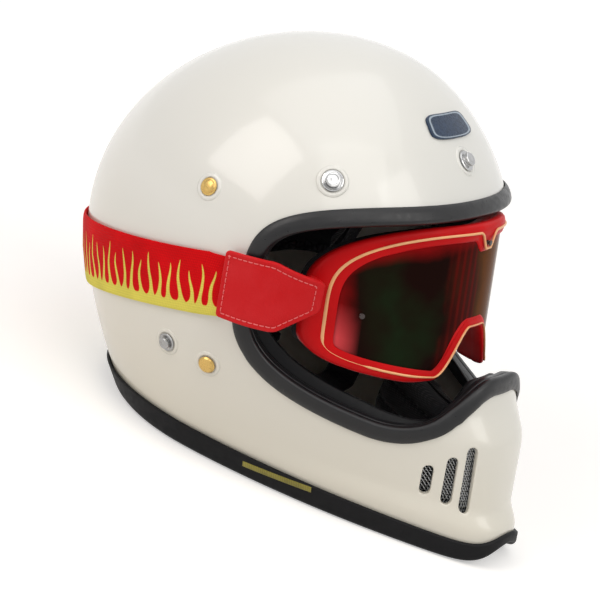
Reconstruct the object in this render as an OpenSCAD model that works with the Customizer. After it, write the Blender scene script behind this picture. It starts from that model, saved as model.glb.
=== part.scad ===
// Full-face motorcycle helmet of the early off-road kind, standing on its base
// edge and facing -Y, with a pair of goggles strapped over the eyeport.
// Millimetres, +Z up, wearer's right on the -X side.

/* [Shell] */
// Height of the crown above the surface the helmet stands on
shell_h = 260; // [254:1:266]
// Half of the greatest width of the shell
shell_half_w = 124; // [120:1:130]
// Height at which the shell is widest
widest_z = 137; // [132:1:142]
// How far each side draws in towards the base edge
side_draw = 31; // [26:1:35]
// Reach of the back of the shell behind the crown axis
rear_reach = 147.5; // [141.5:0.5:153.5]
// How far the back draws in towards the base edge
rear_draw = 50.5; // [45.5:0.5:55.5]
// Height at which the back reaches furthest
rear_z = 116; // [110:1:122]
// Reach of the brow ahead of the crown axis
brow_reach = 124; // [121:1:128]
// Height at which the brow starts to curve back
brow_z = 135; // [131:1:139]
// Reach of the chin bar at the eyeport edge
chin_reach = 156.5; // [153.5:0.5:160.5]
// How far the bevel below the eyeport stands out
chin_bevel = 18; // [13:1:22]
// Forward rake of the chin face, millimetres for each millimetre down
chin_rake = 0.23; // [0.13:0.02:0.27]
// Flare of the lip at the bottom of the chin bar
chin_flare = 6; // [3:1:9]
// Rise of the base edge at the tip of the chin
chin_lift = 14; // [8:1:16]
// Thickness of the shell
shell_wall = 4.5; // [3.5:0.5:5.5]
// Height of the bare shell edge inside the base trim
shell_edge_z = 3; // [2.5:0.5:5]

/* [Eyeport] */
// Angle from the front to the rear end of the eyeport, in section degrees
port_half_angle = 75.4; // [73:0.2:77]
// Height of the middle of the eyeport
port_mid_z = 128; // [125:1:131]
// Rise of the upper edge above the middle, at the front
port_rise = 69; // [66:1:72]
// How much the upper edge falls towards the sides
port_brow_fall = 21; // [17:1:25]
// Depth of the lower edge below the middle, over the chin bar
port_chin_dip = 20.5; // [18:0.5:23]
// Further depth of the lower edge at the cheeks
port_cheek_dip = 41.5; // [38:0.5:44]
// Squareness of the corners of the eyeport
port_corner = 4.5; // [3.5:0.5:5.5]
// Backward slant of the rear end of the eyeport, degrees for each millimetre
port_slant = 0.1; // [0.06:0.02:0.12]

/* [Edge trim] */
// Width of the rubber lip that lies on the shell round the eyeport
trim_lip = 8; // [6:0.5:9]
// Thickness of the rubber lip
trim_t = 2.4; // [2:0.2:2.8]
// Gap between rubber and shell
trim_gap = 0.6; // [0.5:0.05:0.8]
// Height of the base trim at the front and the back
base_trim_h = 12; // [10:0.5:14]
// Further height of the base trim at the sides
base_trim_arch = 4.5; // [2:0.5:6]
// Reach of the inner eyeport lining into the opening at the cheeks
lining_reach = 9; // [6:0.5:10]
// Thickness of the inner eyeport lining
lining_t = 2.4; // [2:0.2:3]

/* [Chin vents] */
// Width of each vent slot
vent_w = 7; // [5:0.5:7.5]
// Section angle of the slot next to the front
vent_phi = 109.2; // [108:0.2:111]
// Section angle between slots
vent_step = 6; // [5.6:0.1:6.4]
// Height of the middle of the slots at the front
vent_z = 51; // [49:1:53]
// Length of the slot next to the front
vent_len = 43; // [37:1:45]
// How much shorter each following slot is
vent_taper = 11.5; // [9.5:0.5:12.5]
// How much lower the middle of each following slot is
vent_fall = 3.6; // [2.4:0.2:4]
// Lean of the slots, their lower ends forward
vent_lean = 10; // [6:1:12]
// Thickness of the mesh behind the slots
mesh_t = 1; // [0.8:0.1:1.2]

/* [Liner] */
// Gap between the shell and what lies inside it
liner_gap = 1.2; // [1:0.1:1.6]
// Thickness of the impact liner
eps_t = 25; // [20:1:28]
// Thickness of the crown pad
crown_pad_t = 8; // [6:0.5:10]
// Depth of the channels in the crown pad
crown_channel = 2; // [1:0.25:2.5]
// Number of channels in the crown pad
crown_channels = 8; // [6:1:10]
// Lower edge of the impact liner at the sides
eps_side_z = 84; // [82:1:95]
// Lower edge of the impact liner at the back
eps_rear_z = 46; // [44:1:60]
// Thickness of the chin liner
chin_liner_t = 13; // [10:1:15]
// Radius of the neck roll across
neck_roll_r = 9; // [8:0.5:10]
// Height of the neck roll
neck_roll_h = 27; // [24:1:30]

/* [Cheek pads] */
// Distance of the rear edge of the pad ahead of the crown axis
pad_rear = 50; // [48:1:54]
// Length of the pad from rear to front
pad_len = 66; // [60:1:68]
// Height of the lower edge of the pad
pad_low_z = 17; // [16:1:20]
// Height of the upper edge at the rear
pad_top_z = 60; // [56:1:61]
// How much the upper edge falls towards the front
pad_top_fall = 4; // [2:1:8]
// Thickness of the pad at its sewn edge
pad_edge_t = 10; // [8:0.5:12]
// Crown of the pad above its edge
pad_crown = 20; // [14:1:22]
// Depth of the sewn channels
pad_channel = 3.5; // [2:0.5:4]
// Gap between the pad and the shell
pad_gap = 3; // [2:0.5:4]
// Width of the pull tab
tab_w = 15; // [12:1:16]

/* [Snaps and rivets] */
// Diameter of the flange of a snap stud
snap_flange_d = 13.5; // [12:0.5:14]
// Diameter of the post of a snap stud
snap_post_d = 9; // [8:0.5:10]
// Height of the post above the flange
snap_post_h = 3; // [2.5:0.25:3.5]
// Height of the neck under the post's head
snap_neck_h = 0.9; // [0.7:0.1:1]
// Thickness of a flange
snap_flange_t = 1.2; // [1:0.1:1.5]
// Diameter of the shank that passes through the shell
snap_shank_d = 4; // [3:0.25:4.5]
// Clearance of a shank in its hole, on the diameter
shank_clear = 0.6; // [0.5:0.1:0.8]
// Diameter of a rivet head
rivet_d = 11; // [10:0.5:12]
// Height of a rivet head
rivet_h = 2.4; // [2:0.2:3]
// Height of the front snap stud
stud_front_z = 222; // [219:1:225]
// Section angle of the snap studs over the temples
stud_side_phi = 153.5; // [150:0.5:157]
// Height of the snap studs over the temples
stud_side_z = 203; // [200:1:206]
// Section angle of the upper rivets
rivet_phi = 187; // [184:1:190]
// Height of the upper rivets
rivet_z = 171; // [169:1:174]
// Section angle of the small snaps behind the strap rivets
snap_rear_phi = 185.5; // [184.5:0.5:188.5]
// Height of the small snaps behind the strap rivets
snap_rear_z = 66; // [64:1:67]
// Half angle of the blank plate on the brow
plate_half_phi = 17; // [13:0.5:18]
// Height of the lower edge of the blank plate
plate_low_z = 232; // [230:1:234]
// Height of the blank plate
plate_rise = 10; // [8:1:12]

/* [Chin strap] */
// Distance of the strap rivets ahead of the crown axis
strap_fwd = 16; // [14:1:18]
// Height of the strap rivets
strap_rivet_z = 66; // [64:1:68]
// Diameter of the strap rivet's shank
strap_pin_d = 5; // [4:0.25:6]
// Clearance of the hanger on the shank, on the diameter
hanger_clear = 0.4; // [0.3:0.1:0.6]
// Thickness of the steel hanger
hanger_t = 1.8; // [1.5:0.1:2.2]
// Width of the webbing
web_w = 25; // [22:1:26]
// Thickness of the webbing
web_t = 1.8; // [1.4:0.1:2.2]
// Lowest height of the webbing under the chin
web_low_z = 5; // [4:0.5:6]
// Diameter of the wire of the D-rings
ring_wire_d = 4; // [3:0.25:4.5]

/* [Goggles] */
// Half width of the lens opening, as a share of the shell's half width
lens_share = 0.702; // [0.686:0.004:0.714]
// How far the lens wraps back at its ends
lens_wrap = 56; // [53:1:58]
// How far the front of the lens lies behind the reach of the brow
lens_set = 4; // [3:0.5:5]
// Height of the reference line across the lens
lens_z = 151.5; // [149:0.5:152]
// Backward lean of the lens
lens_lean = 13; // [11.5:0.5:14]
// Rise of the upper lens edge above the middle line of the lens
lens_rise = 63.5; // [60.5:0.5:64.5]
// How much the upper lens edge falls towards the ends
lens_rise_fall = 16; // [13:1:18]
// Height of the middle line of the lens under the reference line
lens_mid = 27; // [26:0.5:28]
// Depth of the lower lens edge under the middle line
lens_drop = 24.5; // [22.5:0.5:26]
// Rise of the nose notch above the middle line
nose_rise = 7; // [5:1:8]
// Thickness of the lens
lens_t = 1.5; // [1.2:0.1:2]
// Width of the frame round the lens
frame_w = 7; // [6:0.5:7.5]
// Depth of the frame from front to back
frame_depth = 18; // [16:0.5:19]
// Gap between the lens and its groove
lens_gap = 0.4; // [0.3:0.05:0.6]
// Depth of the face foam
foam_depth = 14; // [12:1:16]
// Radius of the bead round the lens
bead_r = 0.9; // [0.8:0.05:1]
// Diameter of the tear-off posts
post_d = 6; // [5:0.5:7]

/* [Goggle strap] */
// Width of the strap
strap_w = 42; // [38:1:44]
// Thickness of the strap
strap_t = 2.2; // [1.8:0.2:2.6]
// Gap between the strap and the shell
strap_gap = 1; // [0.8:0.1:1.4]
// Height of the middle of the strap at the rear end of the eyeport
strap_z = 122; // [119:0.5:125]
// Fall of the strap for each millimetre towards the back
strap_fall = 0.34; // [0.3:0.01:0.36]
// Section angle at which the strap starts under its patch
strap_phi = 170; // [169:0.5:172]
// Thickness of the patch at each end of the strap
patch_t = 3; // [2.5:0.25:3.5]
// Length of the patch from the frame to the strap
patch_len = 50.5; // [47.5:0.5:52.5]
// Height of the middle of the patch at its rear edge
patch_z = 125; // [123:0.5:127]
// Fall of the patch for each millimetre towards the back
patch_fall = 0.24; // [0.18:0.02:0.3]

/* [Hidden] */
// Height of the crown for which the heights in this file are given
drawn_h = 260;
// Share by which the heights follow the height of the crown
tall = shell_h / drawn_h;
// Half width of the shell at the base edge
base_half_w = shell_half_w - side_draw;
// Reach of the back at the base edge
rear_base_reach = rear_reach - rear_draw;
// Half of the width of the lens opening
lens_half_w = lens_share * shell_half_w;
// Distance of the front of the lens ahead of the crown axis
lens_fwd = brow_reach - lens_set;
// Number of columns round the shell
shell_cols = 54;
// Heights of the rows below the widest height, close together over the bevel and the flare
low_rows = [11, 20, 27, 34, 48, 62, 74, 81, 87, 92.5, 98, 104, 120];
// Number of rows above the widest height
shell_top_rows = 7;
// Number of stations round the eyeport
port_n = 72;
// Number of stations round the lens
lens_n = 64;
// Roundness of the side profile above the widest height
side_crown = 2.07;
// Roundness of the side profile below it
side_tuck = 1.68;
// Roundness of the back above its furthest point
rear_crown = 1.94;
// Roundness of the back below its furthest point
rear_tuck = 1.94;
// Roundness of the brow
brow_crown = 1.75;
// Squareness of the section over the brow
brow_square = 2.18;
// Squareness of the section round the chin
chin_square = 1.52;
// Squareness of the section at the tip of the chin
tip_square = 2.1;
// How soon the squareness of the tip fades towards the sides
tip_fade = 14;
// Squareness of the section round the back
rear_square = 2.1;
// Height at which the chin bar starts to pass into the brow
chin_top_z = 100;
// Height over which the chin bar passes into the brow
chin_mix_h = 65;
// Height of the top of the bevel
bevel_top_z = 104;
// Height of the bevel
bevel_h = 30;
// Rounding of the bevel's two edges, as a share of its height
bevel_round = 0.12;
// Height at which the rake starts
rake_top_z = 88;
// Height of the top of the flare
flare_top_z = 34;
// Height of the flare
flare_h = 14;
// Section angle over which the rise at the tip of the chin fades
lift_phi = 14;
// Share of that rise which the upper edge of the base trim takes
lift_top = 0.64;
// Height over which the rows of the shell close up above the raised edge
lift_h = 31;
// Rounding of the base trim's lower corners
base_round = 1.2;
// Distance from the middle of the whole helmet to the crown axis
axis_y = (chin_front(chin_lift + base_round) + trim_gap + trim_t - rear_reach) / 2;
// Thickness of the eyeport trim behind the shell
trim_back = 2;
// Distance of the inner lips of the rubber from the outside of the shell
trim_in = shell_wall + trim_gap + 0.8;
// Thickness of the eyeport trim at the outer edge of its lip
trim_edge_t = 1.3;
// Rounding of the eyeport trim's outer corners
trim_round = 2;
// Hold of the eyeport trim behind the shell
trim_hook = 4;
// Height of the base trim inside the shell
base_in_z = 10;
// Thickness of the base trim inside the shell
base_in_t = 2.5;
// Gap between the shell and the base trim inside it
base_in_gap = 1.5;
// Share of the half width over which the lower eyeport edge stays level
port_flat = 0.05;
// Share of the half width over which the lower eyeport edge dips to the cheeks
port_dip = 0.6;
// Section angle over which the lining narrows at the chin
lining_fade = 24;
// Drop of the lining's edge into the opening at the cheeks
lining_drop = 4;
// Height over which the lining reaches its full width
lining_mix_h = 40;
// Gap between neighbouring pieces that only lie together
lie_gap = 0.5;
// Reach of cutters past the faces they pass through
cut_over = 6;
// Gap between the shell and the mesh behind the slots
mesh_gap = 1.4;
// Reach of the mesh past the slots
mesh_over = 4;
// Section angle from the front at which the impact liner reaches down to the cheeks
eps_front_a = 101;
// Rise of the impact liner above the eyeport edge at the front
eps_clear = 12;
// Least rise of the impact liner above the middle of the eyeport
eps_over = 52;
// Gap between the impact liner and the crown pad
crown_gap = 2.6;
// Height of the lower edge of the neck roll
neck_roll_z = 13;
// Gap between the neck roll and the shell
neck_gap = 2.2;
// Width of the face foam
foam_w = 4.6;
// Gap between the lens and the ledge behind it
lens_seat = 0.9;
// Height of the strap rivets above the surface the helmet stands on
pin_z = tall * strap_rivet_z;
// Section angle of the sliding buckle
slide_phi = 330;
// Half length of the buckle, in section degrees
slide_half = 5;
// Half width of the buckle's upright bars, in section degrees
slide_bar = 0.9;
// Half width of the buckle's level bars
slide_rail = 1.6;
// Thickness of the buckle
slide_t = 2.4;
// Room between the buckle and the strap
slide_gap = 0.8;
// Reach of the eyeport's wall past both faces of the shell
port_over = 3;
// Smallest step used to find directions on the shell
step_phi = 2;
// Length of the hanger under the rivet
hanger_drop = 15;
// Radius of the hanger's bore
hanger_bore_r = (strap_pin_d + hanger_clear) / 2;
// Width of the steel round the hanger's bore
hanger_eye = 4.5;
// Lower end of the hanger
hanger_low_z = strap_rivet_z - hanger_drop;
// Distance of the hanger from the middle plane
hanger_x = side_x(strap_fwd + web_w / 2 + 6, hanger_low_z) - 1.1 * shell_wall - liner_gap - hanger_t;
// Reach of the strap rivet's shank past the hanger
pin_over = 1.6;
// Distance of the inner end of the shank from the middle plane
pin_in_x = hanger_x - pin_over;
// Thickness of the washer at the inner end of the shank
washer_t = 1.2;
// Gap between the shell and the heads that lie on it
head_gap = 0.3;
// Lift of the strap rivet's head, which bridges the curve of the shell
strap_head_lift = 0.6;
// Half of the section angle that the chin liner covers
chin_liner_a = 38;
// Height of the lower edge of the chin liner
chin_liner_z = 15;
// Drop of the chin liner's upper edge under the eyeport
chin_liner_under = 14;
// Half of the section angle that the neck roll covers
neck_a = 70;
// Share by which the neck roll narrows at its ends
neck_taper = 0.55;
// Lift of the crown pad's edge above the impact liner's
crown_lift = 8;
// Number of columns round the liners
liner_cols = 40;
// Number of rows of the liners
liner_rows = 9;
// Places of the two sewn channels up the cheek pad
pad_seams = [0.36, 0.68];
// Half width of a sewn channel, as a share of the pad's height
pad_seam_w = 0.09;
// Bow of the pad's front and rear edges
pad_bow = 5;
// Place of a pull tab along the pad, as a share of its length
tab_share = 0.42;
// Thickness of a pull tab
tab_t = 2;
// Height of a pull tab's lower end
tab_low_z = 3;
// Distance of the D-rings' straight sides from the middle plane
ring_x = 50;
// Height of the lower D-ring
ring_z = web_low_z + 5.5;
// Distance between the D-rings
ring_pitch = ring_wire_d + 0.4;
// Reach of the D-rings from their straight side to their round one
ring_long = 8;
// Radius at which webbing lies round a wire
wrap_r = ring_wire_d / 2 + head_gap + web_t / 2;
// Heights at which the webbing hangs inside the shell
web_rows = [strap_rivet_z - 8, 50, 42, 34, 27, 21];
// Webbing where it hangs inside the shell
web_drop = [for (z = web_rows) [web_x(z), tall * z]];
// Curve of the lens from the middle to its ends
lens_curve = 2.2;
// Squareness of the upper corners of the lens
lens_top_square = 3.6;
// Squareness of the lower corners of the lens
lens_low_square = 10;
// Curve of the upper lens edge as it falls
lens_fall_curve = 2.4;
// Share of the half width that the nose takes
nose_half = 0.09;
// Share of the half width over which the lower lens edge drops
nose_slope = 0.31;
// Share of the half width inside which the frame narrows for the nose
nose_fit_w = 0.3;
// Direction from the lens towards the face
lens_back = [0, cos(lens_lean), -sin(lens_lean)];
// Place of the bead outside the lens edge
bead_out = 2.2;
// Place of the bead ahead of the lens
bead_fwd = 2.2;
// Place of the outer tear-off posts, as a share of the half width
post_side = 0.86;
// Distance of the strap's lugs from the middle plane
lug_x = lens_half_w + 14;
// Distance of the front of the patch ahead of the crown axis
patch_fwd = lens_fwd - lens_wrap + 3;
// Size of a lug, across, along and up
lug_size = [4, 12, 16];
// Gap between the patch and the strap under it
patch_gap = 1.6;
// How soon the patch turns from the frame into the line of the strap
patch_turn = 3;
// Half height of the patch at its front edge
patch_front_h = 9.8;
// Half height of the patch at its rear edge
patch_rear_h = 20.3;
// Corners of the patch's upper edge: share of its length and height off its middle line
patch_top = [[0, patch_front_h], [0.45, 20.4], [1.08, patch_rear_h + 1]];
// Corners of the patch's lower edge
patch_low = [[-0.03, -patch_front_h], [0.26, -25], [0.93, -patch_rear_h - 1]];
// Place of the front snap stud, as section angle and height
stud_front = [90, stud_front_z];
// Place of the snap stud over the right temple
stud_side = [stud_side_phi, stud_side_z];
// Place of the right upper rivet
rivet_side = [rivet_phi, rivet_z];
// Place of the right rear snap
snap_rear = [snap_rear_phi, snap_rear_z];

function smooth01(t) = let (u = min(1, max(0, t))) u * u * (3 - 2 * u);
function dome(t, p) = pow(1 - pow(min(1, max(0, t)), p), 1 / p);
function spow(v, e) = sign(v) * pow(abs(v), e);
function unit(v) = v / norm(v);
function mixv(a, b, t) = a * (1 - t) + b * t;
// Straight ramp from 0 to 1 with rounded corners
function ramp01(t, e) = (sqrt(t * t + e * e) - sqrt((t - 1) * (t - 1) + e * e) + 1) / 2;
function other_side(q) = [180 - q[0], q[1]];

// Profiles of the shell over its height
function half_w(z) = z >= widest_z
    ? shell_half_w * dome((z - widest_z) / (drawn_h - widest_z), side_crown)
    : shell_half_w - (shell_half_w - base_half_w) * pow((widest_z - z) / (widest_z - base_trim_h), side_tuck);
function rear_r(z) = z >= rear_z
    ? rear_reach * dome((z - rear_z) / (drawn_h - rear_z), rear_crown)
    : rear_reach - (rear_reach - rear_base_reach) * pow((rear_z - z) / (rear_z - base_trim_h), rear_tuck);
function brow_r(z) = brow_reach * dome((z - brow_z) / (drawn_h - brow_z), brow_crown);
function chin_front(z) = chin_reach + chin_bevel * ramp01((bevel_top_z - z) / bevel_h, bevel_round)
    + chin_rake * max(0, rake_top_z - z) + chin_flare * smooth01((flare_top_z - z) / flare_h);
function chin_mix(z) = smooth01((z - chin_top_z) / chin_mix_h);
function front_r(z) = let (w = chin_mix(z)) chin_front(z) * (1 - w) + brow_r(z) * w;
function front_sq(z) = let (w = chin_mix(z)) chin_square * (1 - w) + brow_square * w;

// Point of the outside of the shell: phi 0 is +X, 90 the front, 180 -X, 270 the back
function shell_pt(phi, z) = let (c = cos(phi), s = sin(phi), q = front_sq(z),
    n = s >= 0 ? q + max(0, tip_square - q) * pow(s, tip_fade) : rear_square)
    [half_w(z) * spow(c, 2 / n), (s >= 0 ? -front_r(z) : rear_r(z)) * pow(abs(s), 2 / n), tall * z];
function shell_n(phi, z) = unit(cross(shell_pt(phi, z + 1) - shell_pt(phi, z - 1),
    shell_pt(phi + step_phi, z) - shell_pt(phi - step_phi, z)));
function shell_in(phi, z, d) = shell_pt(phi, z) - d * shell_n(phi, z);
function flat_n(phi, z) = let (v = shell_n(phi, z)) unit([v[0], v[1], 0]);

// Half width of the outside of the shell at a distance ahead of the crown axis
function side_x(fwd, z) = half_w(z) * pow(1 - pow(fwd / front_r(z), front_sq(z)), 1 / front_sq(z));

// Heights of grid rows from a lower edge up to just under the crown
function crown_row(k, n) = widest_z + (drawn_h - widest_z) * sin(90 * k / n);

// Edge of the eyeport, u from -1 at the left end to 1 at the right end
function port_z(u, top) = let (a = min(1, abs(u)), e = pow(1 - pow(a, port_corner), 1 / port_corner))
    port_mid_z + e * (top ? port_rise - port_brow_fall * a * a
        : -port_chin_dip - port_cheek_dip * smooth01((a - port_flat) / port_dip));
function port_phi(u, z) = 90 + u * (port_half_angle + port_slant * (z - port_mid_z));
function port_uv(i) = let (t = 360 * i / port_n, top = t < 180, u = top ? sin(t - 90) : sin(270 - t),
    z = port_z(u, top)) [port_phi(u, z), z];
function port_pt(i) = let (q = port_uv(i)) shell_pt(q[0], q[1]);
function port_frame(i) = let (q = port_uv(i), n = shell_n(q[0], q[1]),
    t = unit(port_pt((i + 1) % port_n) - port_pt((i + port_n - 1) % port_n)))
    [shell_pt(q[0], q[1]), unit(cross(t, n)), n];
// Steps of section angle and height that make one step along v on the shell
function shell_step(phi, z, v) = let (a = (shell_pt(phi + 1, z) - shell_pt(phi - 1, z)) / 2,
    b = (shell_pt(phi, z + 1) - shell_pt(phi, z - 1)) / 2,
    aa = a * a, bb = b * b, ab = a * b, d = aa * bb - ab * ab)
    [((v * a) * bb - (v * b) * ab) / d, ((v * b) * aa - (v * a) * ab) / d];
// Ring of points beside the eyeport edge: each has its way along the shell and its way out of it
function port_ring(i, prof) = let (u = port_uv(i), k = shell_step(u[0], u[1], port_frame(i)[1]))
    [for (q = prof) let (p = u + q[0] * k) shell_pt(p[0], p[1]) + q[1] * shell_n(p[0], p[1])];

// Surface of the lens: x across, s up along the leaning lens
function lens_pt(x, s) = [x, -lens_fwd + lens_wrap * pow(abs(x) / lens_half_w, lens_curve) + s * sin(lens_lean),
    tall * (lens_z + s * cos(lens_lean))];
function lens_edge(i) = let (t = 360 * i / lens_n, top = t < 180, u = top ? sin(t - 90) : sin(270 - t),
    a = abs(u), p = top ? lens_top_square : lens_low_square, e = pow(1 - pow(min(1, a), p), 1 / p))
    [-u * lens_half_w, -lens_mid + e * (top ? lens_rise - lens_rise_fall * pow(a, lens_fall_curve)
        : nose_rise - (nose_rise + lens_drop) * smooth01((a - nose_half) / nose_slope))];
function lens_out(i) = let (d = lens_edge((i + 1) % lens_n) - lens_edge((i + lens_n - 1) % lens_n))
    unit([d[1], -d[0]]);
// Narrowing of the frame round the nose
function nose_fit(i) = let (q = lens_edge(i)) q[1] > -lens_mid + nose_rise + 2 ? 1
    : 0.5 + 0.5 * smooth01((abs(q[0]) / lens_half_w - nose_fit_w) / nose_fit_w);
// Ring of points beside the lens edge: b outwards, d towards the face
function lens_ring(i, prof) = let (q = lens_edge(i), o = lens_out(i), k = nose_fit(i))
    [for (w = prof) let (b = w[0] > 0 ? w[0] * k : w[0])
        lens_pt(q[0] + b * o[0], q[1] + b * o[1]) + w[1] * lens_back];

// Faces of a tube of n rings of m points
function tube_faces(n, m, close) = [for (i = [0 : close ? n - 1 : n - 2], j = [0 : m - 1])
    let (a = i * m + j, b = i * m + (j + 1) % m, c = (i + 1) % n * m + (j + 1) % m, d = (i + 1) % n * m + j)
    each [[a, b, c], [a, c, d]]];

// Tube closed on itself
module loop_sweep(rings) {
    polyhedron([for (r = rings) each r], tube_faces(len(rings), len(rings[0]), true), convexity = 8);
}

// Tube with ends closed across its ring, which has an even count of points
module bar_sweep(rings) {
    n = len(rings);
    m = len(rings[0]);
    e = (n - 1) * m;
    caps = [for (j = [0 : m / 2 - 2]) let (k = m - 1 - j)
        each [[j, k - 1, j + 1], [j, k, k - 1], [e + j, e + j + 1, e + k - 1], [e + j, e + k - 1, e + k]]];
    polyhedron([for (r = rings) each r], concat(tube_faces(n, m, false), caps), convexity = 8);
}

// Plate between an outer and an inner grid of rows
module plate(outer, inner) {
    n = len(outer);
    m = len(outer[0]);
    bar_sweep([for (i = [0 : n - 1]) concat(outer[i], [for (j = [m - 1 : -1 : 0]) inner[i][j]])]);
}

// Cap with an outer and an inner skin, rows of closed rings up to a crown point
module cap_solid(outer, outer_top, inner, inner_top) {
    r = len(outer);
    c = len(outer[0]);
    base = r * c + 1;
    pts = concat([for (q = outer) each q], [outer_top], [for (q = inner) each q], [inner_top]);
    out_f = [for (i = [0 : r - 2], j = [0 : c - 1]) let (k = (j + 1) % c)
        each [[i * c + j, i * c + k, i * c + c + k], [i * c + j, i * c + c + k, i * c + c + j]]];
    top_f = [for (j = [0 : c - 1]) [(r - 1) * c + j, (r - 1) * c + (j + 1) % c, r * c]];
    rim_f = [for (j = [0 : c - 1]) let (k = (j + 1) % c) each [[j, base + k, k], [j, base + j, base + k]]];
    in_f = [for (f = concat(out_f, top_f)) [base + f[0], base + f[2], base + f[1]]];
    polyhedron(pts, concat(out_f, top_f, rim_f, in_f), convexity = 8);
}

// Puts what is drawn about the crown axis in the middle of the frame
module at_axis() {
    translate([0, axis_y, 0])
        children();
}

// Stands children on the shell with +Z along its outward direction
module on_shell(phi, z) {
    n = shell_n(phi, z);
    translate(shell_pt(phi, z))
        rotate([0, acos(n[2]), atan2(n[1], n[0])])
            children();
}

// Wall of the eyeport, widest inside and outside of the shell
module port_cutter() {
    inner = [for (i = [0 : port_n - 1]) let (f = port_frame(i)) f[0] - (shell_wall + port_over) * f[2]];
    outer = [for (i = [0 : port_n - 1]) let (f = port_frame(i)) f[0] + port_over * f[2]];
    tips = [[0, 0, tall * (port_mid_z + 20)], [0, -2 * chin_reach, tall * port_mid_z]];
    n = port_n;
    polyhedron(concat(inner, outer, tips),
        [for (i = [0 : n - 1]) let (k = (i + 1) % n)
            each [[i, n + k, k], [i, n + i, n + k], [i, k, 2 * n], [n + i, 2 * n + 1, n + k]]],
        convexity = 8);
}

// Slot through the shell with round ends
module vent_cutter(phi, z, len) {
    on_shell(phi, z)
        hull()
            for (e = [-1, 1])
                rotate([0, 0, vent_lean])
                    translate([e * (len - vent_w) / 2, 0, -shell_wall - cut_over])
                        cylinder(d = vent_w, h = shell_wall + 2 * cut_over, $fn = 12);
}

// Children on both sides of the middle plane
module mirror_pair() {
    children();
    mirror([1, 0, 0])
        children();
}

// Holes through the shell for shanks
module shank_holes() {
    d = snap_shank_d + shank_clear;
    for (q = [stud_front, stud_side, other_side(stud_side), rivet_side, other_side(rivet_side),
            snap_rear, other_side(snap_rear)])
        on_shell(q[0], q[1])
            translate([0, 0, -shell_wall - cut_over])
                cylinder(d = d, h = shell_wall + 2 * cut_over, $fn = 10);
    mirror_pair()
        translate([-shell_half_w - cut_over, -strap_fwd, pin_z])
            rotate([0, 90, 0])
                cylinder(d = strap_pin_d + shank_clear, h = shell_half_w / 2, $fn = 12);
}

// Rise of the base edge towards the tip of the chin
function base_lift(phi) = phi > 180 ? 0 : chin_lift * exp(-pow((phi - 90) / lift_phi, 2));

// Heights of the rows of the shell, which close up above the raised edge
function shell_rows() = concat([shell_edge_z], low_rows,
    [for (k = [0 : shell_top_rows - 1]) crown_row(k, shell_top_rows)]);
function row_z(phi, z) = z + base_lift(phi) * max(0, 1 - (z - shell_edge_z) / lift_h);

// Grid of points between a lower edge that varies and the crown
function cap_grid(cols, rows, low, d) = [for (k = [0 : rows - 1]) [for (j = [0 : cols - 1])
    let (phi = 360 * j / cols, z0 = low[j], t = asin(min(1, max(0, (z0 - widest_z) / (drawn_h - widest_z)))),
        z = z0 < widest_z
            ? (k < rows / 2 ? z0 + (widest_z - z0) * 2 * k / rows : crown_row(2 * k / rows - 1, 1))
            : widest_z + (drawn_h - widest_z) * sin(t + (90 - t) * k / rows))
    shell_in(phi, z, is_list(d) ? d[k][j] : d)]];

// Lower edge of the impact liner round the head
function eps_low(phi, lift) = let (w = abs(phi - 90), a = w > 180 ? 360 - w : w,
    over = max(port_z(min(1, a / port_half_angle), true) + eps_clear, port_mid_z + eps_over),
    side = eps_side_z + (eps_rear_z - eps_side_z) * smooth01((a - eps_front_a) / 50))
    lift + side + (over - side) * smooth01((eps_front_a - a) / 8);

module outer_shell() {
    phis = [for (j = [0 : shell_cols - 1]) 360 * j / shell_cols];
    rows = shell_rows();
    out = [for (z = rows) [for (p = phis) shell_pt(p, row_z(p, z))]];
    inn = [for (z = rows) [for (p = phis) let (q = shell_in(p, row_z(p, z), shell_wall))
        [q[0], q[1], max(tall * row_z(p, shell_edge_z), q[2])]]];
    color([0.93, 0.92, 0.88])
        at_axis()
            resize([0, 0, 0])
                difference() {
                    cap_solid(out, [0, 0, shell_h], inn, [0, 0, shell_h - shell_wall]);
                    port_cutter();
                    mirror_pair()
                        for (k = [0 : 2])
                            vent_cutter(vent_phi + k * vent_step, vent_z - k * vent_fall,
                                vent_len - k * vent_taper);
                    shank_holes();
                }
}

module eyeport_trim() {
    g = trim_gap;
    w = trim_in;
    prof = [[trim_lip, g + trim_edge_t], [trim_lip - trim_round, g + trim_t],
        [trim_round - g - trim_t, g + trim_t], [-g - trim_t, g + trim_t - trim_round / 2],
        [-g - trim_t, -w - trim_back], [trim_hook, -w - trim_back], [trim_hook, -w], [-g, -w], [-g, g],
        [trim_lip, g]];
    color([0.05, 0.05, 0.055])
        at_axis()
            loop_sweep([for (i = [0 : port_n - 1]) port_ring(i, prof)]);
}

// Upper edge of the base trim
function base_edge(phi) = base_trim_h + base_trim_arch * pow(cos(phi), 2) + lift_top * base_lift(phi);

// Section of the base trim: way out of the shell, and height
function base_prof(phi) = let (g = trim_gap, w = shell_wall + g + base_in_gap,
        e = base_edge(phi), b = base_lift(phi), o = g + trim_t, i = w + base_in_t, r = base_round)
    [[o, e - r], [o, b + r], [o - r, b], [r - i, b], [-i, b + r], [-i, b + base_in_z], [-w, b + base_in_z],
        [-w, b + shell_edge_z - g], [g, b + shell_edge_z - g], [g, e]];

module base_trim() {
    color([0.06, 0.06, 0.065])
        at_axis()
            loop_sweep([for (j = [0 : shell_cols - 1])
                let (phi = 360 * j / shell_cols, h = flat_n(phi, shell_edge_z))
                    [for (q = base_prof(phi)) shell_pt(phi, q[1]) + q[0] * h]]);
}

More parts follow.
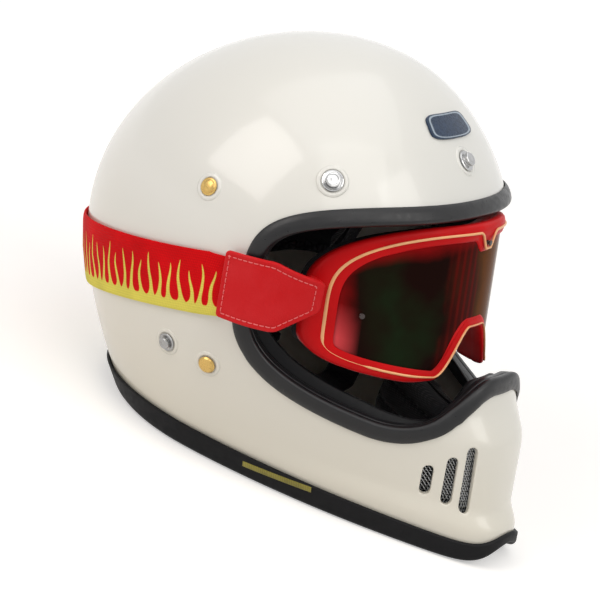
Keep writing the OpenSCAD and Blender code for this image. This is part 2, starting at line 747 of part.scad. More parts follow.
// Section of the eyeport lining at a station: full at the cheeks, narrow over the chin and the brow
function lining_prof(i) = let (q = port_uv(i),
        mid = 1 - smooth01((abs(q[0] - 90) - lining_fade) / lining_fade),
        k = smooth01((port_mid_z + lining_mix_h / 2 - q[1]) / lining_mix_h),
        r = 1 + (lining_reach - 1) * k * (1 - mid),
        top = -trim_in - trim_back - lie_gap)
    [[1, top], [-r, top - lining_drop * k], [-r, top - lining_drop * k - lining_t],
        [1, top - lining_t - 0.75 * lining_drop * k]];

module eyeport_lining() {
    color([0.07, 0.07, 0.075])
        at_axis()
            loop_sweep([for (i = [0 : port_n - 1]) port_ring(i, lining_prof(i))]);
}

module impact_liner() {
    low = [for (j = [0 : liner_cols - 1]) eps_low(360 * j / liner_cols, 0)];
    d = shell_wall + liner_gap;
    color([0.16, 0.16, 0.17])
        at_axis()
            cap_solid(cap_grid(liner_cols, liner_rows, low, d), [0, 0, shell_h - d],
                cap_grid(liner_cols, liner_rows, low, d + eps_t), [0, 0, shell_h - d - eps_t]);
}

module crown_pad() {
    low = [for (j = [0 : liner_cols - 1]) eps_low(360 * j / liner_cols, crown_lift)];
    d = shell_wall + liner_gap + eps_t + crown_gap;
    deep = [for (k = [0 : liner_rows - 1]) [for (j = [0 : liner_cols - 1])
        d + crown_pad_t * (k == 0 ? 0.55 : 1)
            - crown_channel * pow(cos(crown_channels / 2 * 360 * j / liner_cols), 8)]];
    color([0.10, 0.10, 0.11])
        at_axis()
            cap_solid(cap_grid(liner_cols, liner_rows, low, d), [0, 0, shell_h - d],
                cap_grid(liner_cols, liner_rows, low, deep), [0, 0, shell_h - d - crown_pad_t]);
}

module chin_liner() {
    n = 14;
    rows = 4;
    d = shell_wall + mesh_gap + mesh_t + 2 * liner_gap;
    front = [for (i = [0 : n]) let (p = 90 + chin_liner_a * (2 * i / n - 1), low = chin_liner_z + base_lift(p),
            high = port_z(abs(p - 90) / port_half_angle, false) - chin_liner_under)
        [for (k = [0 : rows]) shell_in(p, low + (high - low) * k / rows, d)]];
    back = [for (r = front) [for (k = [0 : rows]) let (t = chin_liner_t * (k == 0 || k == rows ? 0.7 : 1))
        [r[k][0] * (1 - t / base_half_w), r[k][1] + t, r[k][2]]]];
    color([0.12, 0.12, 0.13])
        at_axis()
            plate(back, front);
}

// Section of the neck roll, an ellipse that narrows at both ends
function roll_ring(phi, share) = let (m = 10, h = flat_n(phi, neck_roll_z),
        k = 1 - neck_taper * pow(abs(share), 6),
        c = shell_pt(phi, neck_roll_z) - (shell_wall + neck_gap + neck_roll_r) * h + [0, 0, neck_roll_h / 2])
    [for (j = [0 : m - 1]) let (a = -360 * j / m)
        c + neck_roll_r * k * cos(a) * h + [0, 0, neck_roll_h / 2 * k * sin(a)]];

module neck_roll() {
    n = 30;
    color([0.09, 0.09, 0.10])
        at_axis()
            bar_sweep([for (i = [0 : n]) let (share = 2 * i / n - 1) roll_ring(270 + neck_a * share, share)]);
}

// Mesh behind the right slots, which follows the inside of the shell
module vent_mesh() {
    n = 6;
    function mesh_row(i, d) = let (t = 2 * i / n, mid = vent_z - t * vent_fall,
        half = (vent_len - t * vent_taper) / 2 + mesh_over,
        p = vent_phi + t * vent_step + mesh_over * (t - 1))
        [for (k = [0 : 4]) shell_in(p, mid + half * (k / 2 - 1), d)];
    at_axis()
        plate([for (i = [0 : n]) mesh_row(i, shell_wall + mesh_gap + mesh_t)],
            [for (i = [0 : n]) mesh_row(i, shell_wall + mesh_gap)]);
}

module vent_mesh_right() {
    color([0.55, 0.55, 0.56])
        vent_mesh();
}

module vent_mesh_left() {
    color([0.55, 0.55, 0.56])
        mirror([1, 0, 0])
            vent_mesh();
}

module brow_plate() {
    phis = [for (k = [0 : 8]) 90 + plate_half_phi * (2 * k / 8 - 1)];
    function plate_grid(h) = [for (p = phis) let (e = sqrt(1 - 0.82 * pow((p - 90) / plate_half_phi, 6)))
        [for (k = [0 : 4]) shell_in(p, plate_low_z + plate_rise * (0.5 + e * (k / 4 - 0.5)), -h)]];
    color([0.20, 0.22, 0.28])
        at_axis()
            plate(plate_grid(0.35), plate_grid(1.4));
}

// Snap stud standing on the shell, with its shank through the wall
module snap_stud(flange_d, post_d, post_h) {
    f = snap_flange_t + head_gap;
    p = post_d / 2;
    r = flange_d / 2;
    e = lie_gap;
    translate([0, 0, -shell_wall])
        cylinder(d = snap_shank_d, h = shell_wall + f, $fn = 24);
    rotate_extrude($fn = 36)
        polygon([[0, head_gap], [r - head_gap, head_gap], [r, 2 * head_gap], [r - e, f - head_gap], [p + e, f],
            [p - e, f], [p - e, f + snap_neck_h], [p, f + snap_neck_h], [p, f + post_h - e],
            [p - e, f + post_h], [0, f + post_h]]);
}

// Domed head of a rivet, lifted off the shell
module rivet_dome(lift) {
    r = rivet_d / 2;
    rotate_extrude($fn = 36)
        polygon([[0, lift], [r, lift], [r, lift + 0.4], [0.84 * r, lift + 0.6 * rivet_h],
            [0.5 * r, lift + 0.84 * rivet_h], [0, lift + 0.88 * rivet_h]]);
}

module rivet_head() {
    translate([0, 0, -shell_wall])
        cylinder(d = snap_shank_d, h = shell_wall + 1, $fn = 24);
    rivet_dome(head_gap);
}

module snap_front() {
    color([0.78, 0.78, 0.80])
        at_axis()
            on_shell(stud_front[0], stud_front[1])
                snap_stud(snap_flange_d, snap_post_d, snap_post_h);
}

module snap_temple_right() {
    color([0.78, 0.78, 0.80])
        at_axis()
            on_shell(stud_side[0], stud_side[1])
                snap_stud(snap_flange_d, snap_post_d, snap_post_h);
}

module snap_temple_left() {
    color([0.78, 0.78, 0.80])
        at_axis()
            on_shell(180 - stud_side[0], stud_side[1])
                snap_stud(snap_flange_d, snap_post_d, snap_post_h);
}

module rivet_right() {
    color([0.62, 0.50, 0.30])
        at_axis()
            on_shell(rivet_side[0], rivet_side[1])
                rivet_head();
}

module rivet_left() {
    color([0.62, 0.50, 0.30])
        at_axis()
            on_shell(180 - rivet_side[0], rivet_side[1])
                rivet_head();
}

// Section angle at which a point ahead of the crown axis lies on the shell
function fwd_phi(fwd, z) = 180 - asin(pow(fwd / front_r(z), front_sq(z) / 2));

// Rivet with a domed head outside, a shank through the shell and a washer inside
module strap_rivet() {
    x = side_x(strap_fwd, strap_rivet_z);
    at_axis() {
        on_shell(fwd_phi(strap_fwd, strap_rivet_z), strap_rivet_z)
            rivet_dome(head_gap + strap_head_lift);
        translate([-x - pin_over, -strap_fwd, pin_z])
            rotate([0, 90, 0])
                cylinder(d = strap_pin_d, h = x + pin_over - pin_in_x, $fn = 36);
        translate([-pin_in_x - washer_t, -strap_fwd, pin_z])
            rotate([0, 90, 0])
                cylinder(d = strap_pin_d + 4, h = washer_t, $fn = 36);
    }
}

module strap_rivet_right() {
    color([0.62, 0.50, 0.30])
        strap_rivet();
}

module strap_rivet_left() {
    color([0.62, 0.50, 0.30])
        mirror([1, 0, 0])
            strap_rivet();
}

module rear_snap_right() {
    color([0.78, 0.78, 0.80])
        at_axis()
            on_shell(snap_rear[0], snap_rear[1])
                snap_stud(snap_flange_d - 2, snap_post_d - 1.5, snap_post_h - 0.5);
}

module rear_snap_left() {
    color([0.78, 0.78, 0.80])
        at_axis()
            on_shell(180 - snap_rear[0], snap_rear[1])
                snap_stud(snap_flange_d - 2, snap_post_d - 1.5, snap_post_h - 0.5);
}

// Outer face of a cheek pad beside the shell, as the distance from the middle plane
function pad_x(fwd, z) = side_x(fwd, z) - shell_wall - pad_gap - 1.2;

// Depth of the sewn channels at a share of the pad's height
function pad_seam(w) = pad_channel * (pow(max(0, 1 - abs(w - pad_seams[0]) / pad_seam_w), 2)
    + pow(max(0, 1 - abs(w - pad_seams[1]) / pad_seam_w), 2));

// Fullness of the pad over its face
function pad_full(v, w) = let (e = (1 - pow(abs(2 * v - 1), 4)) * (1 - pow(abs(2 * w - 1), 4)))
    pad_edge_t + pad_crown * pow(e, 0.6) - e * pad_seam(w);

// Distance ahead of the crown axis and height over the pad's face
function pad_yz(v, w) = [pad_rear + pad_len * v - pad_bow * pow(2 * w - 1, 2) * (2 * v - 1),
    pad_low_z + (pad_top_z - pad_top_fall * v - pad_low_z) * w];

module cheek_pad() {
    nv = 10;
    nw = 16;
    function pad_pt(v, w, full) = let (q = pad_yz(v, w)) [full - pad_x(q[0], q[1]), -q[0], tall * q[1]];
    outer = [for (i = [0 : nv]) [for (j = [0 : nw]) pad_pt(i / nv, j / nw, 0)]];
    inner = [for (i = [0 : nv]) [for (j = [0 : nw]) pad_pt(i / nv, j / nw, pad_full(i / nv, j / nw))]];
    at_axis()
        plate(outer, inner);
}

module cheek_pad_right() {
    color([0.11, 0.11, 0.12])
        cheek_pad();
}

module cheek_pad_left() {
    color([0.11, 0.11, 0.12])
        mirror([1, 0, 0])
            cheek_pad();
}

// Webbing tab that hangs from the lower edge of a pad
module pull_tab() {
    fwd = pad_rear + tab_share * pad_len;
    x = pad_x(fwd, pad_low_z) - 0.8 * pad_edge_t;
    at_axis()
        translate([-x, -fwd - tab_w / 2, tab_low_z])
            cube([tab_t, tab_w, tall * pad_low_z - tab_low_z - 0.1]);
}

module pull_tab_right() {
    color([0.75, 0.60, 0.10])
        pull_tab();
}

module pull_tab_left() {
    color([0.75, 0.60, 0.10])
        mirror([1, 0, 0])
            pull_tab();
}

// Steel plate that hangs on the strap rivet
module hanger() {
    at_axis()
        translate([-hanger_x - hanger_t, -strap_fwd, pin_z])
            rotate([0, 90, 0])
                difference() {
                    union() {
                        cylinder(r = hanger_bore_r + hanger_eye, h = hanger_t, $fn = 36);
                        translate([0, -web_w / 2, 0])
                            cube([hanger_drop, web_w, hanger_t]);
                    }
                    translate([0, 0, -1])
                        cylinder(r = hanger_bore_r, h = hanger_t + 2, $fn = 36);
                }
}

module hanger_right() {
    color([0.55, 0.55, 0.57])
        hanger();
}

module hanger_left() {
    color([0.55, 0.55, 0.57])
        mirror([1, 0, 0])
            hanger();
}

// Flat ribbon along a path of [x, z] points, lying across Y
module ribbon(path, w, t) {
    n = len(path);
    side = [for (i = [0 : n - 1]) let (d = unit(path[min(n - 1, i + 1)] - path[max(0, i - 1)]))
        [-d[1], d[0]]];
    at_axis()
        translate([0, -strap_fwd + w / 2, 0])
            rotate([90, 0, 0])
                linear_extrude(w)
                    polygon(concat([for (i = [0 : n - 1]) path[i] + side[i] * t / 2],
                        [for (i = [n - 1 : -1 : 0]) path[i] - side[i] * t / 2]));
}

// Distance from the middle plane of the webbing as it hangs inside the shell
function web_x(z) = min(hanger_x - web_t / 2 - 0.2, side_x(strap_fwd + web_w / 2 + 10, z) - shell_wall - 8);

// Long webbing: down inside the right of the shell, under the chin, through both rings and back
module chin_web_right() {
    top = ring_z + ring_pitch + wrap_r;
    color([0.06, 0.06, 0.065])
        ribbon(concat([for (q = web_drop) [-q[0], q[1]]],
            [[-ring_x - 12, web_low_z + 7], [-ring_x + 4, web_low_z + 2.5], [22 - ring_x, web_low_z + 0.6],
                [40 - ring_x, web_low_z], [ring_x - 38, web_low_z], [ring_x - 22, web_low_z + 0.2],
                [ring_x - 14, web_low_z + 1.2], [ring_x - 9.6, ring_z - 1.6], [ring_x - 8.6, ring_z + 2],
                [ring_x - 9.6, top - 1.6], [ring_x - 13, top + 0.6], [ring_x - 20, top + 1.2],
                [ring_x - 34, top - 0.4], [ring_x - 48, top - 2.4]]), web_w - 2, web_t);
}

// Short webbing: down inside the left of the shell and round both rings
module chin_web_left() {
    top = ring_z + ring_pitch;
    color([0.06, 0.06, 0.065])
        ribbon(concat(web_drop,
            [[ring_x + 20, top + wrap_r + 1.1], [ring_x + 12, top + wrap_r + 0.6], [ring_x + 6, top + wrap_r],
                [ring_x, top + wrap_r]],
            [for (a = [120, 150, 180]) [ring_x + wrap_r * cos(a), top + wrap_r * sin(a)]],
            [for (a = [180, 210, 240, 270]) [ring_x + wrap_r * cos(a), ring_z + wrap_r * sin(a)]],
            [[ring_x + 6, ring_z - wrap_r + 0.3], [ring_x + 12, ring_z - wrap_r + 1.6]]), web_w - 2, web_t);
}

// Wire ring with one straight side, lying flat
module d_ring(z) {
    r = ring_wire_d / 2;
    half = web_w / 2 + r;
    at_axis()
        translate([ring_x, -strap_fwd, z]) {
            translate([-ring_long, 0, 0])
                rotate([0, 0, 90])
                    rotate_extrude(angle = 180, $fn = 40)
                        translate([half, 0])
                            circle(r = r, $fn = 20);
            for (e = [-1, 1]) {
                translate([-ring_long, e * half, 0])
                    rotate([0, 90, 0])
                        cylinder(r = r, h = ring_long, $fn = 20);
                translate([0, e * half, 0])
                    sphere(r = r, $fn = 20);
            }
            translate([0, half, 0])
                rotate([90, 0, 0])
                    cylinder(r = r, h = 2 * half, $fn = 20);
        }
}

module d_ring_inner() {
    color([0.72, 0.72, 0.74])
        d_ring(ring_z);
}

module d_ring_outer() {
    color([0.72, 0.72, 0.74])
        d_ring(ring_z + ring_pitch);
}

module goggle_frame() {
    g = lens_gap;
    seat = lens_t + lens_seat;
    prof = [[g, -1.2], [g, seat], [-2.6, seat], [-2.6, 4.4], [-1.4, frame_depth * 0.5], [-1.4, frame_depth],
        [frame_w - 5, frame_depth], [frame_w - 1.6, frame_depth * 0.45], [frame_w, 2], [frame_w - 2, -0.8]];
    color([0.72, 0.04, 0.05])
        at_axis()
            loop_sweep([for (i = [0 : lens_n - 1]) lens_ring(i, prof)]);
}

module goggle_lens() {
    rings = [1, 0.72, 0.4];
    mid = [0, 12];
    n = lens_n;
    pts = [for (d = [0, lens_t]) each concat(
        [for (k = rings) each [for (i = [0 : n - 1]) let (q = mixv(mid, lens_edge(i), k))
            lens_pt(q[0], q[1]) + d * lens_back]],
        [lens_pt(mid[0], mid[1]) + d * lens_back])];
    b = 3 * n + 1;
    front = [for (i = [0 : n - 1]) let (k = (i + 1) % n) each [for (r = [0, 1])
        each [[r * n + i, r * n + n + k, r * n + k], [r * n + i, r * n + n + i, r * n + n + k]]]];
    tip = [for (i = [0 : n - 1]) [2 * n + i, 3 * n, 2 * n + (i + 1) % n]];
    back = [for (f = concat(front, tip)) [b + f[0], b + f[2], b + f[1]]];
    rim = [for (i = [0 : n - 1]) let (k = (i + 1) % n) each [[i, k, b + k], [i, b + k, b + i]]];
    color([0.16, 0.10, 0.10])
        at_axis()
            polyhedron(pts, concat(front, tip, back, rim), convexity = 6);
}

module lens_bead() {
    m = 5;
    prof = [for (j = [0 : m - 1]) let (a = 360 * j / m)
        [bead_out + bead_r * cos(a), -bead_fwd - bead_r * sin(a)]];
    color([0.85, 0.70, 0.50])
        at_axis()
            loop_sweep([for (i = [0 : lens_n - 1]) lens_ring(i, prof)]);
}

// Section of the face foam, shallower at the ends of the goggles
function foam_prof(i) = let (f = frame_depth + head_gap, w = foam_w,
        d = foam_depth * (1 - 0.35 * pow(abs(lens_edge(i)[0]) / lens_half_w, 4)))
    [[0, f], [-w, f], [-w - 0.6, f + d / 2], [-w + 0.4, f + d], [-1.2, f + d], [-0.2, f + d / 2]];

module face_foam() {
    color([0.13, 0.13, 0.14])
        at_axis()
            loop_sweep([for (i = [0 : lens_n - 1]) lens_ring(i, foam_prof(i))]);
}

// Direction out of the front of the lens
function lens_n(x, s) = unit(cross(lens_pt(x + 1, s) - lens_pt(x - 1, s),
    lens_pt(x, s + 1) - lens_pt(x, s - 1)));

module tear_off_posts() {
    color([0.10, 0.09, 0.09])
        at_axis()
            for (x = [-post_side, 0, post_side])
                let (s = x == 0 ? lens_rise - lens_mid - 7 : -lens_mid + 4, v = lens_n(x * lens_half_w, s))
                    translate(lens_pt(x * lens_half_w, s) + 0.4 * v)
                        rotate([0, acos(v[2]), atan2(v[1], v[0])])
                            cylinder(d = post_d * 0.6, h = 3, $fn = 20);
}

// Way of the strap round the helmet: height of its middle at a distance behind the crown axis
function strap_mid(y) = strap_z - strap_fall * (y + 16);

// Half height of an edge of the patch, by its corners, at a share of its length
function edge_at(q, t) = t < q[1][0]
    ? q[0][1] + (q[1][1] - q[0][1]) * (t - q[0][0]) / (q[1][0] - q[0][0])
    : q[1][1] + (q[2][1] - q[1][1]) * (t - q[1][0]) / (q[2][0] - q[1][0]);

// Point of the patch: t 0 at the frame and 1 over the strap, b off its middle line, off out of it
function patch_y(t) = patch_len * t - patch_fwd;
function patch_x(t) = let (y = patch_y(1), end = -side_x(-y, widest_z) - strap_gap - strap_t - patch_gap)
    -lug_x + (end + lug_x) * (1 - pow(1 - t, patch_turn));
function patch_out(t) = let (d = [patch_x(t + 0.02) - patch_x(t - 0.02), patch_y(t + 0.02) - patch_y(t - 0.02)])
    unit([-d[1], d[0], 0]);
function patch_pt(t, b, off) = [patch_x(t), patch_y(t), tall * (patch_z + b + patch_fall * patch_len * (1 - t))]
    + off * patch_out(t);

module strap_patch() {
    n = 10;
    function along(q, u) = u < 1 ? mixv(q[0][0], q[1][0], u) : mixv(q[1][0], q[2][0], u - 1);
    function station(i, off) = let (k = i / n, u = k < 0.4 ? k / 0.4 : 1 + (k - 0.4) / 0.6,
            t = along(patch_top, u), l = along(patch_low, u),
            high = edge_at(patch_top, t), low = edge_at(patch_low, l))
        [for (m = [0 : 4]) patch_pt(mixv(l, t, m / 4), mixv(low, high, m / 4), off)];
    at_axis()
        plate([for (i = [0 : n]) station(i, 0)], [for (i = [0 : n]) station(i, patch_t)]);
}

module strap_patch_right() {
    color([0.75, 0.06, 0.05])
        strap_patch();
}

module strap_patch_left() {
    color([0.75, 0.06, 0.05])
        mirror([1, 0, 0])
            strap_patch();
}

// Block that carries the strap's end on the side of the frame
module strap_lug() {
    at_axis()
        translate(patch_pt(0, 0, 0) + [1, 2, -lug_size[2] / 2])
            cube(lug_size);
}

module strap_lug_right() {
    color([0.66, 0.04, 0.05])
        strap_lug();
}

module strap_lug_left() {
    color([0.66, 0.04, 0.05])
        mirror([1, 0, 0])
            strap_lug();
}

// Section of the strap: two faces, each of a few points over its width
function band(phi) = let (n = 4, mid = strap_mid(shell_pt(phi, 90)[1]))
    [for (q = [0 : 2 * n + 1]) let (face = q > n ? 1 : 0,
            v = face == 0 ? 2 * q / n - 1 : 2 * (2 * n + 1 - q) / n - 1)
        shell_in(phi, mid + v * strap_w / 2, -strap_gap - strap_t * face)];

module goggle_strap() {
    n = 38;
    color([0.70, 0.05, 0.05])
        at_axis()
            bar_sweep([for (i = [0 : n]) band(strap_phi + (540 - 2 * strap_phi) * i / n)]);
}

// Sliding buckle on the strap: a frame that follows the shell, with a bar across it
module strap_adjuster() {
    n = 24;
    mid = strap_mid(shell_pt(slide_phi, 90)[1]);
    low = strap_gap + strap_t + slide_gap;
    function slide_ring(c, d) = [for (q = [[-1, 0], [-1, 1], [1, 1], [1, 0]])
        shell_in(slide_phi + (slide_half + q[0] * slide_bar) * c,
            mid + (strap_w / 2 + slide_rail + q[0] * slide_rail) * d, -low - q[1] * slide_t)];
    color([0.08, 0.08, 0.085])
        at_axis()
            loop_sweep([for (i = [0 : n - 1]) let (t = 360 * i / n)
                slide_ring(spow(cos(t), 0.4), spow(sin(t), 0.4))]);
}

outer_shell();
eyeport_trim();
base_trim();
eyeport_lining();
impact_liner();
crown_pad();
chin_liner();
neck_roll();
vent_mesh_right();
vent_mesh_left();
brow_plate();
snap_front();
snap_temple_right();
snap_temple_left();
rivet_right();
rivet_left();
strap_rivet_right();
strap_rivet_left();
rear_snap_right();
rear_snap_left();
cheek_pad_right();
cheek_pad_left();
pull_tab_right();
pull_tab_left();
hanger_right();
hanger_left();
chin_web_right();
chin_web_left();
d_ring_inner();
d_ring_outer();
goggle_frame();
goggle_lens();
lens_bead();
face_foam();
tear_off_posts();
strap_lug_right();
strap_lug_left();
strap_patch_right();
strap_patch_left();
goggle_strap();
strap_adjuster();
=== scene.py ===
"""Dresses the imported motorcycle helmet: shell, trims, liner, fasteners, chin strap, goggles and stage."""

import math

import bmesh
import bpy
import numpy as np
from bpy.props import FloatProperty, FloatVectorProperty, IntProperty, PointerProperty
from mathutils import Matrix, Vector


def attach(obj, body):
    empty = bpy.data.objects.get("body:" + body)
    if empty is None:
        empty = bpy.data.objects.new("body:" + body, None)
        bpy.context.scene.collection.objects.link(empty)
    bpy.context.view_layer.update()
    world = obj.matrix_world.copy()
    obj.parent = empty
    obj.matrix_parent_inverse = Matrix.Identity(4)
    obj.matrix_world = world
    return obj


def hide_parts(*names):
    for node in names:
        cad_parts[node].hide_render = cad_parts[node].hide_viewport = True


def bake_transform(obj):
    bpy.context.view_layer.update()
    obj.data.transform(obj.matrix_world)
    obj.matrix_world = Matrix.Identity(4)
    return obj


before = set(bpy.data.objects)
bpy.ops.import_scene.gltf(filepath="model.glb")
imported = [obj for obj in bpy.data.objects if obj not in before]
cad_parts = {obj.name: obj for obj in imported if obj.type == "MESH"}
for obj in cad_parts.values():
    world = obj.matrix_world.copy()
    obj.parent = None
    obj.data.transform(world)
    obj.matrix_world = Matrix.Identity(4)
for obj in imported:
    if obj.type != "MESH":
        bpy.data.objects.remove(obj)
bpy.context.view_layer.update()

bl_info = {
    "name": "Motorcycle helmet with goggles",
    "version": (1, 0, 0),
    "blender": (4, 5, 0),
    "location": "View3D > Sidebar > Helmet",
    "description": "Builds the finished look of the helmet over its solid parts",
    "category": "Object",
}

MM = 0.001
# Names of the sides, and whether their pieces are mirrored
SIDES = (("right", False), ("left", True))
# Steps round the eyeport and round the lens
PORT_STEPS = 420
LENS_STEPS = 384


class Shape:
    """Sizes of the part about the crown axis: millimetres, degrees, shares and powers of curves."""

    shell_h, half_w, widest_z, base_half_w = 260.0, 124.0, 137.0, 93.0
    rear_reach, rear_base, rear_z = 147.5, 97.0, 116.0
    brow_reach, brow_z = 124.0, 135.0
    chin_reach, chin_bevel, chin_rake, chin_flare = 156.5, 18.0, 0.23, 6.0
    chin_lift, lift_phi, lift_top, lift_h, tip_fade, bevel_round = 14.0, 14.0, 0.64, 31.0, 14.0, 0.12
    base_round = 1.2
    side_crown, side_tuck, rear_crown, rear_tuck, brow_crown = 2.07, 1.68, 1.94, 1.94, 1.75
    brow_square, chin_square, tip_square, rear_square = 2.18, 1.52, 2.1, 2.1
    chin_top_z, chin_mix_h, bevel_top_z, bevel_h = 100.0, 65.0, 104.0, 30.0
    rake_top_z, flare_top_z, flare_h = 88.0, 34.0, 14.0
    wall, edge_z = 4.5, 3.0
    port_half, port_mid, port_rise, port_fall = 75.4, 128.0, 69.0, 21.0
    port_chin, port_cheek, port_corner, port_slant = 20.5, 41.5, 4.5, 0.1
    port_flat, port_blend = 0.05, 0.6
    trim_lip, trim_t, trim_gap, trim_back = 8.0, 2.4, 0.6, 2.0
    trim_in = wall + trim_gap + 0.8
    base_h, base_arch = 12.0, 4.5
    lining_reach, lining_t = 9.0, 2.4
    vent_w, vent_phi, vent_step, vent_z = 7.0, 109.2, 6.0, 51.0
    vent_len, vent_taper, vent_fall, vent_lean = 43.0, 11.5, 3.6, 10.0
    mesh_gap, mesh_t, mesh_over = 1.4, 1.0, 4.0
    liner_gap, liner_t, crown_gap, crown_t, crown_dip, crown_n = 1.2, 25.0, 2.6, 8.0, 2.0, 8
    liner_side, liner_rear, liner_front_a, liner_clear, liner_over = 84.0, 46.0, 101.0, 12.0, 52.0
    chin_liner_t = 13.0
    roll_r, roll_h, roll_z, roll_gap = 9.0, 27.0, 13.0, 2.2
    pad_rear, pad_len, pad_low, pad_top, pad_fall = 50.0, 66.0, 17.0, 60.0, 4.0
    pad_edge, pad_crown, pad_channel, pad_gap, tab_w = 10.0, 20.0, 3.5, 3.0, 15.0
    pad_seams = (0.36, 0.68)
    flange_d, post_d, post_h, neck_h, flange_t = 13.5, 9.0, 3.0, 0.9, 1.2
    rivet_d, rivet_h = 11.0, 2.4
    stud_front, stud_side = (90.0, 222.0), (153.5, 203.0)
    rivet_side, snap_rear = (187.0, 171.0), (185.5, 66.0)
    plate_phi, plate_z, plate_rise = 17.0, 232.0, 10.0
    strap_fwd, pin_z, hanger_t, web_w, web_t, web_z, wire_d = 16.0, 66.0, 1.8, 25.0, 1.8, 5.0, 4.0
    ring_x, ring_z, ring_step, ring_wrap = 50.0, web_z + 5.5, wire_d + 0.4, wire_d / 2 + 0.3 + web_t / 2
    lens_w, lens_wrap, lens_fwd, lens_z, lens_lean, lens_curve = 87.05, 56.0, 120.0, 151.5, 13.0, 2.2
    lens_rise, lens_fall, lens_mid, lens_drop, nose_rise = 63.5, 16.0, 27.0, 24.5, 7.0
    lens_top_square, lens_low_square, lens_fall_curve = 3.6, 10.0, 2.4
    nose_half, nose_slope = 0.09, 0.31
    frame_w, frame_depth, foam_depth, foam_w, bead_r = 7.0, 18.0, 14.0, 4.6, 0.8
    lug_x, lug_fwd = lens_w + 14, lens_fwd - lens_wrap + 3
    strap_w, strap_t, strap_gap, patch_t = 42.0, 2.2, 1.0, 3.0
    strap_z, strap_z_fwd, strap_drop, strap_way_z = 122.0, 16.0, 0.34, 90.0
    strap_phi, patch_gap, patch_len, patch_z, patch_fall, patch_turn = 170.0, 1.6, 50.5, 125.0, 0.24, 3
    patch_outline = ((0, 9.8), (0.45, 20.4), (1.08, 21.3), (0.93, -21.3), (0.26, -25.0), (-0.03, -9.8))
    slide_phi = 330.0


g = Shape


# Shape of the shell


def smooth(t):
    """Eases from 0 to 1."""
    u = np.clip(t, 0.0, 1.0)
    return u * u * (3 - 2 * u)


def ramp(t, e):
    """Straight ramp from 0 to 1 with rounded corners."""
    return (np.sqrt(t * t + e * e) - np.sqrt((t - 1) ** 2 + e * e) + 1) / 2


def dome(t, p):
    """Quarter of a superellipse, 1 at t 0 and 0 at t 1."""
    return (1 - np.clip(t, 0.0, 1.0) ** p) ** (1 / p)


def spow(v, e):
    """Power that keeps the sign."""
    return np.sign(v) * np.abs(v) ** e


def unit(v):
    """Vectors of length one."""
    return v / np.maximum(np.linalg.norm(v, axis=-1, keepdims=True), 1e-12)


def half_w(z):
    """Half width of the shell at a height."""
    fall = np.maximum(0, (g.widest_z - z) / (g.widest_z - g.base_h)) ** g.side_tuck
    low = g.half_w - (g.half_w - g.base_half_w) * fall
    high = g.half_w * dome((z - g.widest_z) / (g.shell_h - g.widest_z), g.side_crown)
    return np.where(z >= g.widest_z, high, low)


def rear_r(z):
    """Reach of the back of the shell at a height."""
    fall = np.maximum(0, (g.rear_z - z) / (g.rear_z - g.base_h)) ** g.rear_tuck
    low = g.rear_reach - (g.rear_reach - g.rear_base) * fall
    high = g.rear_reach * dome((z - g.rear_z) / (g.shell_h - g.rear_z), g.rear_crown)
    return np.where(z >= g.rear_z, high, low)


def chin_front(z):
    """Reach of the chin bar at a height."""
    return (
        g.chin_reach
        + g.chin_bevel * ramp((g.bevel_top_z - z) / g.bevel_h, g.bevel_round)
        + g.chin_rake * np.maximum(0, g.rake_top_z - z)
        + g.chin_flare * smooth((g.flare_top_z - z) / g.flare_h)
    )


def brow_share(z):
    """Share of the brow in the front at a height, 0 at the chin bar and 1 above the eyeport."""
    return smooth((z - g.chin_top_z) / g.chin_mix_h)


def front_r(z):
    """Reach of the front of the shell at a height."""
    w = brow_share(z)
    brow = g.brow_reach * dome((z - g.brow_z) / (g.shell_h - g.brow_z), g.brow_crown)
    return chin_front(z) * (1 - w) + brow * w


def front_sq(z):
    """Squareness of the front half of a section."""
    w = brow_share(z)
    return g.chin_square * (1 - w) + g.brow_square * w


def shell_pt(phi, z):
    """Outside of the shell: phi 0 is +X, 90 the front, 180 -X and 270 the back."""
    phi, z = np.broadcast_arrays(np.asarray(phi, float), np.asarray(z, float))
    c, s, q = np.cos(np.radians(phi)), np.sin(np.radians(phi)), front_sq(z)
    n = np.where(s >= 0, q + np.maximum(0, g.tip_square - q) * np.abs(s) ** g.tip_fade, g.rear_square)
    y = np.where(s >= 0, -front_r(z), rear_r(z)) * np.abs(s) ** (2 / n)
    return np.stack([half_w(z) * spow(c, 2 / n), y, z], -1)


def shell_n(phi, z):
    """Direction out of the shell."""
    z = np.asarray(z, float)
    h = np.clip((g.shell_h - z) * 0.5, 0.004, 1.0)
    up = shell_pt(phi, z + h) - shell_pt(phi, z - h)
    return unit(np.cross(up, shell_pt(np.asarray(phi) + 2.0, z) - shell_pt(np.asarray(phi) - 2.0, z)))


def shell_at(phi, z, out=0.0):
    """Point at a distance out of the shell."""
    return shell_pt(phi, z) + np.asarray(out, float)[..., None] * shell_n(phi, z)


def flat_n(phi, z):
    """Level direction out of the shell."""
    v = shell_n(phi, z).copy()
    v[..., 2] = 0
    return unit(v)


def side_x(fwd, z):
    """Half width of the shell at a distance ahead of the crown axis."""
    q = front_sq(z)
    return half_w(z) * (1 - (fwd / front_r(z)) ** q) ** (1 / q)


def shell_step(phi, z, v):
    """Steps of section angle and height that make one millimetre along v on the shell."""
    a = (shell_pt(phi + 1, z) - shell_pt(phi - 1, z)) / 2
    b = (shell_pt(phi, z + 1) - shell_pt(phi, z - 1)) / 2
    aa, bb, ab = (a * a).sum(-1), (b * b).sum(-1), (a * b).sum(-1)
    va, vb, d = (v * a).sum(-1), (v * b).sum(-1), aa * bb - ab * ab
    return np.stack([(va * bb - vb * ab) / d, (vb * aa - va * ab) / d], -1)


TIP_REACH = chin_front(np.float64(g.chin_lift + g.base_round)) + g.trim_gap + g.trim_t
AXIS_Y = float((TIP_REACH - g.rear_reach) / 2)


